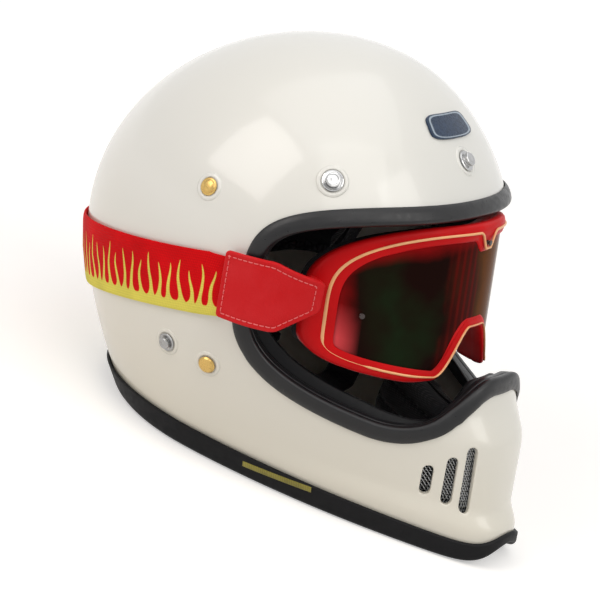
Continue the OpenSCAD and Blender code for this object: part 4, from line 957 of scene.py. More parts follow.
def outside_port(phi, z):
    """Marks the faces of the mesh whose middles lie outside the eyeport."""
    after = np.roll(phi, -1, 1)
    after[:, -1] += 360
    mid_phi = (phi + after)[:-1] / 4 + (phi + after)[1:] / 4
    mid_z = (z[:-1] + z[1:]) / 2
    u = (mid_phi - 90) / (g.port_half + g.port_slant * (mid_z - g.port_mid))
    return ~((np.abs(u) < 1) & (mid_z > port_z(u, False)) & (mid_z < port_z(u, True)))


def slot_windows(rows, cols):
    """Windows of the mesh round the slots: side, slot, lower and upper row, first and last column."""
    second, lean = slot_lean()
    windows = []
    for _, side in SIDES:
        for k in range(3):
            middle, half, _ = slot_frame(k)
            column = middle[0] - lean * (middle[1] - second[1])
            centre = int(round((180 - column if side else column) * cols / 360.0))
            low = int(np.searchsorted(rows, middle[1] - half - 3.5)) - 1
            high = int(np.searchsorted(rows, middle[1] + half + 2.5))
            windows.append((side, k, low, high, centre - 2, centre + 2))
    return windows


def window_ring(cols, low, high, first, last):
    """Points of the mesh round a window."""
    ring = [low * cols + c for c in range(first, last)] + [r * cols + last for r in range(low, high)]
    ring += [high * cols + c for c in range(last, first, -1)]
    return ring + [r * cols + first for r in range(high, low, -1)]


def slot_wall(side, k, phi, z):
    """Rows of points from a window's ring over the slot's round lip, down its wall and under it."""
    middle, half, steps = slot_frame(k)
    uv = np.stack([180 - phi if side else phi, z], -1)
    local = np.linalg.solve(steps, (uv - middle).T).T
    lip = 0.6
    levels = [(lip, t, 0.0) for t in (0.45, 0.8, 1.0)]
    levels += [(lip - s, 1.0, d) for s, d in ((0.3, 0.08), (0.52, 0.3), (lip, lip))]
    levels += [(0.0, 1.0, 2.0), (0.0, 1.0, g.wall), (0.0, 0.6, g.wall)]
    rows = []
    for grow, t, depth in levels:
        line = slot_outline(local, half + grow, g.vent_w / 2 + grow)
        at = middle + (local * (1 - t) + line * t) @ steps.T
        p = shell_at(at[:, 0], at[:, 1], np.full(len(at), -depth))
        if side:
            p[:, 0] *= -1
        rows.append(p)
    return rows


def shell_mesh(cols):
    """Points and faces of the shell with its eyeport and vent slots."""
    rows = shell_rows()
    phi, z = shell_grid(rows, cols)
    keep = outside_port(phi, z)
    phi, z = phi.ravel(), z.ravel()
    windows = []
    for side, k, low, high, first, last in slot_windows(rows, cols):
        keep[low:high, first:last] = False
        windows.append((side, k, window_ring(cols, low, high, first, last)))
    kept = np.array(quads(len(rows), cols)).reshape(-1, cols, 4)[keep].tolist()
    edges = dict.fromkeys((a, b) for f in kept for a, b in zip(f, f[1:] + f[:1]))
    in_ring = {v for _, _, ring in windows for v in ring}
    crown = (len(rows) - 1) * cols
    border = [(a, b) for a, b in edges if (b, a) not in edges and a < crown]
    rim = [(a, b) for a, b in border if not (a in in_ring and b in in_ring)]
    curve = port_curve(2880)
    curve_p = shell_pt(curve[:, 0], curve[:, 1])
    for v in sorted({v for edge in rim for v in edge if v >= cols}):
        near = np.argmin(((curve_p - shell_pt(phi[v], z[v])) ** 2).sum(-1))
        phi[v], z[v] = curve[near]
    out = shell_pt(phi, z)
    inner = shell_at(phi, z, np.full(len(phi), -g.wall))
    inner[:, 2] = np.maximum(inner[:, 2], g.edge_z + base_lift(phi))
    count = len(out)
    points = [out, inner, np.array([[0, 0, g.shell_h], [0, 0, g.shell_h - g.wall]])]
    faces = kept + [[v + count for v in f[::-1]] for f in kept]
    faces += [[b, a, a + count, b + count] for a, b in rim]
    for c in range(crown, crown + cols):
        d = c + 1 if c + 1 < crown + cols else crown
        faces += [[c, d, 2 * count], [d + count, c + count, 2 * count + 1]]
    base = 2 * count + 2
    for side, k, ring in windows:
        m = len(ring)
        wall = slot_wall(side, k, phi[ring], z[ring])
        points += wall
        lines = [ring] + [list(range(base + i * m, base + i * m + m)) for i in range(len(wall))]
        lines.append([v + count for v in ring])
        base += len(wall) * m
        for a, b in zip(lines, lines[1:]):
            faces += [list(f) for f in zip(a, a[1:] + a[:1], b[1:] + b[:1], b)]
    return np.concatenate(points), faces


class HELMET_OT_shell(bpy.types.Operator):
    """Builds the lacquered shell with its eyeport and slots."""

    bl_idname = "helmet.shell"
    bl_label = "Shell"

    def execute(self, context):
        colours, sizes = settings()
        points, faces = shell_mesh(sizes.shell_cols)
        obj = make("shell", points, faces, sharp=50.0)
        place(obj, paint(colours.shell), "shell", "helmet", "outer_shell")
        return {"FINISHED"}


class HELMET_OT_trims(bpy.types.Operator):
    """Builds the rubber trims, the eyeport lining and the sewn tag."""

    bl_idname = "helmet.trims"
    bl_label = "Edge trims"

    def execute(self, context):
        colours, _ = settings()
        self.eyeport(colours)
        self.base(colours)
        self.lining(colours)
        self.tag(colours)
        return {"FINISHED"}

    def eyeport(self, colours):
        """Trim with a flat lip over the shell and a groove along its inner side."""
        gap, t, deep = g.trim_gap, g.trim_t, g.trim_in
        lip, side, back = g.trim_lip, -gap - t, -deep - g.trim_back
        profile = [(lip, gap), (lip, gap + 0.5), (6.4, gap + 1.5), (4.2, gap + 2.15), (1.4, gap + t)]
        profile += [(-1.0, gap + t - 0.1), (-2.4, gap + 1.6), (side, gap), (side, -1.6), (side + 0.5, -2.2)]
        profile += [(side, -2.8), (side, -deep - 1.2), (side + 0.8, back), (4, back), (4, -deep)]
        profile += [(-gap, -deep), (-gap, gap)]
        trim = sweep("eyeport_rubber", port_rings(PORT_STEPS, corner(profile, 0.6, 3)), closed=True)
        black = rubber("trim_rubber", colours.rubber, 0.36, shine=0.34)
        place(trim, black, "rubber", "helmet", "eyeport_trim")

    def base(self, colours):
        """Trim round the base edge, whose upper edge rises and falls with the shell's."""
        n, gap, out, upper = 400, g.trim_gap, g.trim_gap + g.trim_t, 90.6
        phi = np.arange(n) * 360.0 / n
        profile = [(out, upper - 0.6), (out, 2.0), (out - 1.4, 0), (-8.0, 0), (-9.1, 1.2)]
        profile += [(-9.1, 10), (-6.6, 10), (-6.6, 2.4), (gap, 2.4), (gap, upper)]
        away, height = corner(profile, 0.9, 4).T[:, None]
        high = height - upper + base_edge(phi)[:, None]
        z = np.where(height > upper / 2, high, height + base_lift(phi)[:, None])
        level = flat_n(phi, np.full(n, g.edge_z))
        rings = shell_pt(phi[:, None], z) + away[..., None] * level[:, None, :]
        trim = sweep("base_rubber", rings, closed=True)
        place(trim, rubber("base_rubber", colours.rubber, 0.55), "rubber", "helmet", "base_trim")

    def lining(self, colours):
        """Second lip behind the eyeport's trim, wide at the cheeks and narrow at the chin and the brow."""
        phi, z = port_curve(PORT_STEPS).T
        middle = 1 - smooth((np.abs(phi - 90) - 24) / 24)
        k = smooth((g.port_mid + 20 - z) / 40)
        reach = 1 + (g.lining_reach - 1) * k * (1 - middle)
        top, t = -g.trim_in - g.trim_back - 0.5, g.lining_t
        rows = []
        for a, b in zip(reach, k):
            profile = [(1, top), (-a, top - 4 * b), (-a, top - 4 * b - t), (1, top - t - 3 * b)]
            rows.append(corner(profile, 1.1, 5))
        lining = sweep("eyeport_lip", port_rings(PORT_STEPS, np.array(rows)), closed=True)
        black = rubber("lining_rubber", times(colours.rubber, 0.8), 0.38)
        place(lining, black, "lining", "helmet", "eyeport_lining")

    def tag(self, colours):
        """Plain woven tag on the base trim."""
        n, length = 30, 0.034
        phi = np.linspace(159.5, 145.5, n)
        across, out = rounded(1.9, 0.35, 16, 0.3, 0.8).T[:, None]
        level = flat_n(phi, np.full(n, g.edge_z))
        z = np.linspace(9.6, 12.2, n)[:, None] + across
        away = g.trim_gap + g.trim_t + 0.05 + out
        p = shell_pt(phi[:, None], z) + away[..., None] * level[:, None, :]
        uv = np.stack(np.broadcast_arrays(np.linspace(0, length, n)[:, None], across * MM), -1)
        tag = sweep("sewn_tag", p, uv=uv)
        place(tag, webbing("tag_weave", colours.tab, 0.0011), "tab", "helmet")


class HELMET_OT_vents(bpy.types.Operator):
    """Builds the wire mesh behind the chin slots."""

    bl_idname = "helmet.vents"
    bl_label = "Vent mesh"

    def execute(self, context):
        _, sizes = settings()
        steel = metal("mesh_wire", (0.40, 0.41, 0.42), 0.3, dirt=0.3)
        pitch, radius = sizes.wire_pitch / MM, sizes.wire_r / MM
        width, tall, slope, step, weave = 50.0, 62.0, 1.25, 0.55, 0.28
        depth = g.wall + g.mesh_gap + g.mesh_t / 2
        paths = []
        for sign in (1, -1):
            for start in np.arange(-tall - width, tall + width, pitch * slope):
                run = np.arange(0, width, step)
                h = start + sign * run * slope
                t = 2 * run / width
                half = (g.vent_len - t * g.vent_taper) / 2 + g.mesh_over
                inside = np.abs(h) < half
                if inside.sum() < 4:
                    continue
                run, t, h = run[inside], t[inside], h[inside]
                phi = g.vent_phi + t * g.vent_step + g.mesh_over * (t - 1)
                over = weave * sign * np.sin(np.pi * run / pitch * 2)
                paths.append(shell_at(phi, g.vent_z - t * g.vent_fall + h, -depth + over))
        for name, side in SIDES:
            obj = tubes("vent_wires_" + name, paths, radius, sides=5, mirror=side)
            place(obj, steel, "mesh", "helmet", "vent_mesh_" + name)
        return {"FINISHED"}


# Inside


def liner_low(phi, lift):
    """Lower edge of the impact liner."""
    w = np.abs(phi - 90)
    a = np.where(w > 180, 360 - w, w)
    over = np.maximum(port_z(np.minimum(1, a / g.port_half), True) + g.liner_clear, g.port_mid + g.liner_over)
    side = g.liner_side + (g.liner_rear - g.liner_side) * smooth((a - g.liner_front_a) / 50)
    return lift + side + (over - side) * smooth((g.liner_front_a - a) / 8)


def cap_rings(phi, low, rows, depth):
    """Rings from a lower edge that varies up to the crown, at a depth under the shell."""
    k = np.linspace(0, 0.985, rows)[:, None]
    tall, knee = g.shell_h - g.widest_z, 0.5
    t = np.arcsin(np.clip((low - g.widest_z) / tall, 0, 1))[None]
    below = low + (g.widest_z - low) * k / knee
    above = g.widest_z + tall * np.sin(np.pi / 2 * np.clip((k - knee) / (1 - knee), 0, 1))
    high = g.widest_z + tall * np.sin(t + (np.pi / 2 - t) * k)
    z = np.where(low < g.widest_z, np.where(k < knee, below, above), high)
    return shell_at(np.broadcast_to(phi, z.shape), z, -np.broadcast_to(depth, z.shape))


def cap(name, outer, inner):
    """Closed cap of an outer and an inner skin."""
    r, c = outer.shape[:2]
    count, last = r * c, (r - 1) * c
    tops = np.array([outer[-1].mean(0), inner[-1].mean(0)])
    skin = quads(r, c)
    faces = skin + [[v + count for v in f[::-1]] for f in skin]
    for j in range(c):
        k = (j + 1) % c
        faces += [[count + j, count + k, k, j], [last + j, last + k, 2 * count]]
        faces += [[count + last + k, count + last + j, 2 * count + 1]]
    return make(name, np.concatenate([outer.reshape(-1, 3), inner.reshape(-1, 3), tops]), faces)


class HELMET_OT_liner(bpy.types.Operator):
    """Builds the impact liner, the crown pad, the chin liner and the neck roll."""

    bl_idname = "helmet.liner"
    bl_label = "Liner"

    def execute(self, context):
        colours, _ = settings()
        dark = cloth("liner_cloth", colours.lining, 0.0016)
        phi = np.arange(160) * 360.0 / 160
        self.impact(phi, colours)
        self.crown(phi, dark)
        self.chin(colours)
        self.neck(dark, colours)
        return {"FINISHED"}

    def impact(self, phi, colours):
        """Cap of bead foam under the shell."""
        d, rows = g.wall + g.liner_gap, 30
        low = liner_low(phi, 0.0)
        liner = cap("impact_foam", cap_rings(phi, low, rows, d), cap_rings(phi, low, rows, d + g.liner_t))
        place(liner, foam("bead_foam", colours.foam, 0.0042), "foam_liner", "helmet", "impact_liner")

    def crown(self, phi, dark):
        """Crown pad with sewn grooves up to the crown and a belt round it."""
        d, rows = g.wall + g.liner_gap + g.liner_t + g.crown_gap, 34
        low = liner_low(phi, 8.0)
        k = np.linspace(0, 1, rows)[:, None]
        groove = np.abs(np.cos(g.crown_n / 2 * np.radians(phi)))[None] ** 14 * (1 - smooth((k - 0.82) / 0.12))
        belt = np.exp(-(((k - 0.45) / 0.03) ** 2)) * 0.8
        full = g.crown_t * (0.45 + 0.55 * smooth(k / 0.1))
        pucker = 0.4 * np.sin(9 * np.radians(phi))[None] ** 2
        deep = d + full - g.crown_dip * np.maximum(groove, belt) - pucker
        pad = cap("crown_cloth", cap_rings(phi, low, rows, d), cap_rings(phi, low, rows, deep))
        place(pad, dark, "liner_fabric", "helmet", "crown_pad")

    def chin(self, colours):
        """Foam behind the chin bar, thinner towards its edges."""
        phi = np.linspace(53.0, 127.0, 40)[:, None]
        rise = np.linspace(0, 1, 18)[None, :]
        high = port_z(np.abs(phi - 90) / g.port_half, False) - 15
        low = 16 + base_lift(phi)
        z = low + (high - low) * rise
        d = g.wall + g.mesh_gap + g.mesh_t + 2 * g.liner_gap + 0.8
        front = shell_at(np.broadcast_to(phi, z.shape), z, np.full(z.shape, -d))
        t = (g.chin_liner_t - 3) * (0.6 + 0.4 * np.sin(np.pi * rise) ** 0.5) * np.ones_like(phi)
        back = front + np.stack([-front[..., 0] * t / g.base_half_w, t, np.zeros_like(t)], -1)
        block = sweep("chin_foam", np.concatenate([back, front[:, ::-1]], 1))
        puff(block, 0.005, 0.0016, 2.0)
        place(block, cloth("chin_cloth", colours.lining, 0.0018), "foam_liner", "helmet", "chin_liner")

    def neck(self, dark, colours):
        """Roll round the back of the base edge, with piping along its inner side."""
        n = 60
        phi = np.linspace(201.0, 339.0, n)
        level = flat_n(phi, np.full(n, g.roll_z))
        k = 1 - 0.55 * np.abs(np.linspace(-1, 1, n)) ** 6
        inset = g.wall + g.roll_gap + g.roll_r
        c = shell_pt(phi, np.full(n, g.roll_z)) - inset * level + [0, 0, g.roll_h / 2]
        ring = rounded(g.roll_r - 1.2, g.roll_h / 2 - 1.2, 28, 1.0, 1.0)[None]
        section = ring[..., :1] * level[:, None, :] + ring[..., 1:] * np.array([0, 0, 1.0])
        roll = sweep("neck_cloth", c[:, None] + k[:, None, None] * section)
        puff(roll, 0.005, 0.002, 3.0)
        place(roll, dark, "liner_fabric", "helmet", "neck_roll")
        seam = c + (k * (g.roll_r - 0.2))[:, None] * -level
        piping = tubes("neck_piping", [spline(seam[2:-2], 2)], 0.9, sides=8)
        place(piping, rubber("piping", colours.rubber, 0.5), "liner_fabric", "helmet")


def pad_grid(shrink, nv, nw):
    """Grid of a cheek pad drawn in from its edges: distance ahead, height, outer half width, thickness."""
    v = np.linspace(shrink / g.pad_len, 1 - shrink / g.pad_len, nv)[:, None]
    tall = g.pad_top - g.pad_low
    w = np.linspace(shrink / tall, 1 - shrink / tall, nw)[None, :]
    bow = 5 * (2 * w - 1) ** 2 * (2 * v - 1)
    fwd = g.pad_rear + g.pad_len * v - bow
    z = g.pad_low + (g.pad_top - g.pad_fall * v - g.pad_low) * w
    x = side_x(fwd, z) - g.wall - g.pad_gap - 1.2
    e = (1 - np.abs(2 * v - 1) ** 4) * (1 - np.abs(2 * w - 1) ** 4)
    full = g.pad_edge + g.pad_crown * np.maximum(e, 0) ** 0.6
    return np.broadcast_arrays(fwd, z, x, full)


class HELMET_OT_pads(bpy.types.Operator):
    """Builds the cheek pads with their sewn channels, piping and pull tabs."""

    bl_idname = "helmet.pads"
    bl_label = "Cheek pads"

    def execute(self, context):
        colours, _ = settings()
        dark = cloth("pad_cloth", colours.lining, 0.0015)
        piping = rubber("pad_piping", colours.rubber, 0.5)
        thread = plastic("pad_thread", (0.05, 0.05, 0.055), 0.6)
        band = webbing("tab_band", colours.tab)
        for name, side in SIDES:
            self.pad(name, side, dark, piping, thread)
            self.tab(name, side, band, thread)
        return {"FINISHED"}

    def pad(self, name, side, dark, piping, thread):
        """Puffed pad with two sewn channels across its face and piping round it."""
        body, sign = "cheek_" + name, -1.0 if side else 1.0
        nv, nw = 30, 24
        fwd, z, x, full = pad_grid(1.4, nv, nw)
        outer = np.stack([-x + 0.8, -fwd, z], -1)
        inner = np.stack([-x + full - 1.4, -fwd, z], -1)
        pad = sweep("cheek_cloth_" + name, np.concatenate([outer, inner[:, ::-1]], 1), mirror=side)
        puff(pad, 0.004, 0.0028)
        co = coords(pad.data)
        away, ahead, height = co[:, 0] / MM * sign, AXIS_Y - co[:, 1] / MM, co[:, 2] / MM
        fall = g.pad_fall * np.clip((ahead - g.pad_rear) / g.pad_len, 0, 1)
        share = (height - g.pad_low) / (g.pad_top - fall - g.pad_low)
        mid = nw // 2
        face = -away < np.interp(ahead, fwd[:, mid], (x - 0.55 * full)[:, mid])
        dip = sum(np.exp(-(((share - c) / 0.045) ** 2)) for c in g.pad_seams) * face
        co[:, 0] -= sign * g.pad_channel * 0.75 * MM * dip
        pad.data.vertices.foreach_set("co", co.astype(np.float32).ravel())
        place(pad, dark, "pad_fabric", body, "cheek_pad_" + name)
        ring = np.concatenate([inner[:, 0], inner[-1, 1:], inner[-2::-1, -1], inner[0, -2:0:-1]])
        ring = ring + np.array([-3.0, 0, 0])
        edge = tubes("cheek_piping_" + name, [np.concatenate([ring, ring[:2]])], 0.9, sides=8, mirror=side)
        place(edge, piping, "pad_fabric", body)
        for k, c in enumerate(g.pad_seams):
            line = inner[3:-3, int(round(c * (nw - 1)))] + np.array([1.0 - g.pad_channel, 0, 0])
            normal = np.tile([1.0, 0, 0], (len(line), 1))
            row = stitches(f"cheek_seam_{name}_{k}", line, normal, 2.6, 1.6, 0.3, mirror=side)
            place(row, thread, "pad_fabric", body)

    def tab(self, name, side, band, thread):
        """Webbing tab that narrows at its end, with a row of stitches."""
        body = "cheek_" + name
        fwd = g.pad_rear + 0.42 * g.pad_len
        x = side_x(fwd, np.float64(g.pad_low)) - g.wall - g.pad_gap - 1.2 - g.pad_edge * 0.8
        z = np.linspace(g.pad_low - 0.1, 3.0, 14)[:, None]
        half = g.tab_w / 2 * (1 - 0.22 * smooth((6.5 - z) / 3.5))
        across, out = rounded(1.0, 1.0, 20, 0.35, 0.35).T[:, None]
        p = np.stack(np.broadcast_arrays(-x + 1 + 0.95 * out, -fwd + half * across, z), -1)
        uv = np.stack(np.broadcast_arrays(z * MM, half * across * MM), -1)
        tab = sweep("pull_band_" + name, p, uv=uv, mirror=side)
        place(tab, band, "tab", body, "pull_tab_" + name)
        line = np.array([[-x + 1.95, -fwd + k, 13.0] for k in np.linspace(-5.5, 5.5, 12)])
        normal = np.tile([1.0, 0, 0], (len(line), 1))
        row = stitches("pull_seam_" + name, line, normal, 2.0, 1.0, 0.25, mirror=side)
        place(row, thread, "tab", body)


# Fasteners


def stud_profile(flange, post, tall):
    """Profile of a snap stud: rolled flange, neck, ringed post with a shallow dish."""
    f, r, h = g.flange_t + 0.3, flange / 2, post / 2
    prof = [(0.01, 0.25), (r - 0.5, 0.25), (r - 0.1, 0.5), (r, 0.85), (r - 0.25, f - 0.25), (r - 0.8, f)]
    prof += [(h + 0.9, f - 0.15), (h - 0.5, f - 0.1), (h - 0.65, f + 0.3), (h - 0.6, f + g.neck_h)]
    prof += [(h - 0.2, f + g.neck_h + 0.2), (h, f + tall * 0.6), (h - 0.12, f + tall - 0.45)]
    prof += [(h - 0.55, f + tall - 0.08), (h - 1.0, f + tall), (h - 1.6, f + tall - 0.22)]
    prof += [(h - 2.0, f + tall - 0.28), (h * 0.3, f + tall - 0.1), (0.01, f + tall - 0.05)]
    return prof


def rivet_profile(lift):
    """Profile of a domed rivet head with a fine step."""
    r, h = g.rivet_d / 2, g.rivet_h
    prof = [(0.01, 0.28), (r - 0.2, 0.28), (r, 0.45), (r, 0.75), (r - 0.35, 1.05), (r - 0.9, 1.2)]
    prof += [(r - 1.2, 1.18)]
    prof += [(r * a, h * b) for a, b in ((0.74, 0.66), (0.6, 0.84), (0.42, 0.95), (0.2, 0.995))]
    prof += [(0.01, h)]
    return [(a, b + lift) for a, b in prof]


def seat_profile(r):
    """Profile of the raised paint round a fastener of that radius."""
    prof = [(r + 0.3, 0.02), (r + 0.45, 0.3), (r + 1.0, 0.52), (r + 1.9, 0.42)]
    return prof + [(r + 3.0, 0.05), (r + 3.1, -0.3), (r + 0.3, -0.3)]


def side_phi(fwd, z):
    """Section angle of the right side at a distance ahead of the crown axis."""
    reach, square = float(front_r(np.float64(z))), float(front_sq(np.float64(z)))
    return 180 - math.degrees(math.asin((fwd / reach) ** (square / 2)))


class HELMET_OT_fasteners(bpy.types.Operator):
    """Builds the snap studs, the rivets and the raised seats round them."""

    bl_idname = "helmet.fasteners"
    bl_label = "Snaps and rivets"

    def execute(self, context):
        colours, _ = settings()
        chrome = metal("stud_chrome", times(colours.chrome, 0.6), 0.12, dirt=0.35)
        dull = metal("snap_nickel", times(colours.chrome, 0.42), 0.3, dirt=0.5)
        brass = metal("rivet_brass", colours.brass, 0.26, dirt=0.6)
        painted = bpy.data.materials["shell_paint"]
        stud = stud_profile(g.flange_d, g.post_d, g.post_h)
        small = stud_profile(g.flange_d - 2, g.post_d - 1.5, g.post_h - 0.5)
        pin = (side_phi(g.strap_fwd, g.pin_z), g.pin_z)
        rows = [("snap_front", stud, g.stud_front, chrome, "chrome", False)]
        for name, left in SIDES:
            rows += [("snap_temple_" + name, stud, g.stud_side, chrome, "chrome", left)]
            rows += [("rear_snap_" + name, small, g.snap_rear, dull, "chrome", left)]
            rows += [("rivet_" + name, rivet_profile(0.0), g.rivet_side, brass, "brass", left)]
            rows += [("strap_rivet_" + name, rivet_profile(0.6), pin, brass, "brass", left)]
        for node, prof, (phi, z), finish, slot, left in rows:
            head = turned(node + "_head", prof, phi, z, mirror=left, sharp=30.0)
            if node.startswith("strap_rivet"):
                coat(node, brass)
                place(head, finish, slot, "helmet")
            else:
                place(head, finish, slot, "helmet", node)
            ring = seat_profile(max(radius for radius, _ in prof))
            seat = turned(node + "_seat", ring, phi, z, closed=True, mirror=left, sharp=60.0)
            place(seat, painted, "shell", "helmet")
        return {"FINISHED"}


class HELMET_OT_plate(bpy.types.Operator):
    """Builds the blank plate on the brow."""

    bl_idname = "helmet.plate"
    bl_label = "Blank plate"

    def execute(self, context):
        colours, _ = settings()
        n, flat, edge, foot = 96, 1.3, 1.55, 0.35
        a = np.linspace(0, 2 * np.pi, n, endpoint=False)
        x, y = spow(np.cos(a), 0.5), spow(np.sin(a), 0.42)
        rows = [(k, flat if k < 0.86 else edge) for k in np.linspace(0.02, 0.97, 14)]
        rows += [(1.0, flat), (1.0, foot), (0.5, foot), (0.02, foot)]
        rings, uv = [], []
        for k, h in rows:
            z = g.plate_z + g.plate_rise * (0.5 + 0.5 * k * y)
            rings.append(shell_at(90 + g.plate_phi * k * x, z, np.full(n, h)))
            uv.append(np.stack([np.full(n, k if h > foot else 1.0), np.zeros(n)], -1))
        obj = sweep("brow_blank", rings, uv=np.array(uv), sharp=50.0)
        place(obj, enamel(colours.plate, (0.40, 0.47, 0.54)), "plate", "helmet", "brow_plate")
        return {"FINISHED"}


def chin_drop():
    """Way of the webbing down from its hanger: distances from the middle and heights."""
    edge = g.strap_fwd + g.web_w / 2
    hang = float(side_x(edge + 6, np.float64(g.pin_z - 15))) - 1.1 * g.wall - g.liner_gap - g.hanger_t
    drop = []
    for z in (g.pin_z - 8, 50.0, 42.0, 34.0, 27.0, 21.0):
        wall = float(side_x(edge + 10, np.float64(z))) - g.wall - 8
        drop.append((min(hang - g.web_t / 2 - 0.2, wall), z))
    return drop


def chin_right(drop):
    """Way of the right webbing: under the chin, through the rings and back over itself."""
    x, z, low = g.ring_x, g.ring_z, g.web_z
    top = z + g.ring_step + g.ring_wrap
    way = [(-a, b) for a, b in drop]
    way += [(-62, low + 7), (-46, low + 2.5), (-28, low + 0.6), (-10, low), (12, low)]
    way += [(x - 22, low + 0.2), (x - 14, low + 1.2), (x - 9.6, z - 1.6), (x - 8.6, z + 2)]
    way += [(x - 9.6, top - 1.6), (x - 13, top + 0.6), (x - 20, top + 1.2), (x - 34, top - 0.4)]
    return way + [(x - 48, top - 2.4)]


def chin_left(drop):
    """Way of the left webbing: down to the rings and round their bars."""
    x, z, wrap = g.ring_x, g.ring_z, g.ring_wrap
    high = z + g.ring_step
    top = high + wrap
    way = drop + [(70, top + 1.1), (62, top + 0.6), (x + 6, top), (x, top)]
    for level, angles in ((high, (120, 150, 180)), (z, (180, 210, 240, 270))):
        for a in map(math.radians, angles):
            way.append((x + wrap * math.cos(a), level + wrap * math.sin(a)))
    return way + [(x + 6, z - wrap + 0.3), (x + 12, z - wrap + 1.6)]


class HELMET_OT_chin_strap(bpy.types.Operator):
    """Builds the webbing of the chin strap and finishes its steel parts."""

    bl_idname = "helmet.chin_strap"
    bl_label = "Chin strap"

    def execute(self, context):
        colours, _ = settings()
        steel = metal("hanger_steel", (0.56, 0.56, 0.57), 0.34)
        chrome = metal("ring_chrome", colours.chrome, 0.18)
        coat("hanger_right", steel)
        coat("hanger_left", steel)
        coat("d_ring_inner", chrome)
        coat("d_ring_outer", chrome)
        band = webbing("chin_band", times(colours.rubber, 1.6))
        thread = plastic("chin_thread", (0.35, 0.34, 0.32), 0.6)
        drop = chin_drop()
        for name, sign, path in (("right", -1.0, chin_right(drop)), ("left", 1.0, chin_left(drop))):
            self.web(name, path, band)
            self.seams(name, sign, drop, thread)
        return {"FINISHED"}

    def web(self, name, path, band):
        """Band of webbing along a path."""
        way = spline(path, 6)
        t = unit(np.gradient(way, axis=0))
        across, out = rounded((g.web_w - 2) / 2, g.web_t / 2, 24, 0.22, 0.6).T[:, None]
        x = way[:, None, 0] - t[:, None, 1] * out
        z = way[:, None, 1] + t[:, None, 0] * out
        p = np.stack(np.broadcast_arrays(x, -g.strap_fwd + across, z), -1)
        uv = np.stack(np.broadcast_arrays(run_of(way)[:, None] * MM, across * MM), -1)
        web = sweep("chin_band_" + name, p, uv=uv)
        place(web, band, "webbing", "chin_strap", "chin_web_" + name)

    def seams(self, name, sign, drop, thread):
        """Two rows of stitches under a hanger."""
        outs, heights = np.array(drop[::-1]).T
        for k, height in enumerate((53.5, 46.0)):
            x = np.interp(height, heights, outs) - g.web_t / 2
            line = np.array([[sign * x, -g.strap_fwd + y, height] for y in np.linspace(-9, 9, 14)])
            normal = np.tile([-sign, 0.0, 0.0], (len(line), 1))
            row = stitches(f"chin_seam_{name}_{k}", line, normal, 2.2, 0.9, 0.28)
            place(row, thread, "webbing", "chin_strap")


# Goggles


def rim_width(q, rim):
    """Width of the red rim round the lens, narrower along the bottom and deep round the middle post."""
    low = smooth((-g.lens_mid - q[:, 1]) / 18)
    end = np.maximum(0, np.abs(q[:, 0]) / g.lens_w - 0.75) * 4
    wide = rim * (1 - 0.4 * low) * (1 - 0.45 * end)
    return wide + np.where(q[:, 1] > 0, notch(q[:, 0], 7.5, 13.0), 0)


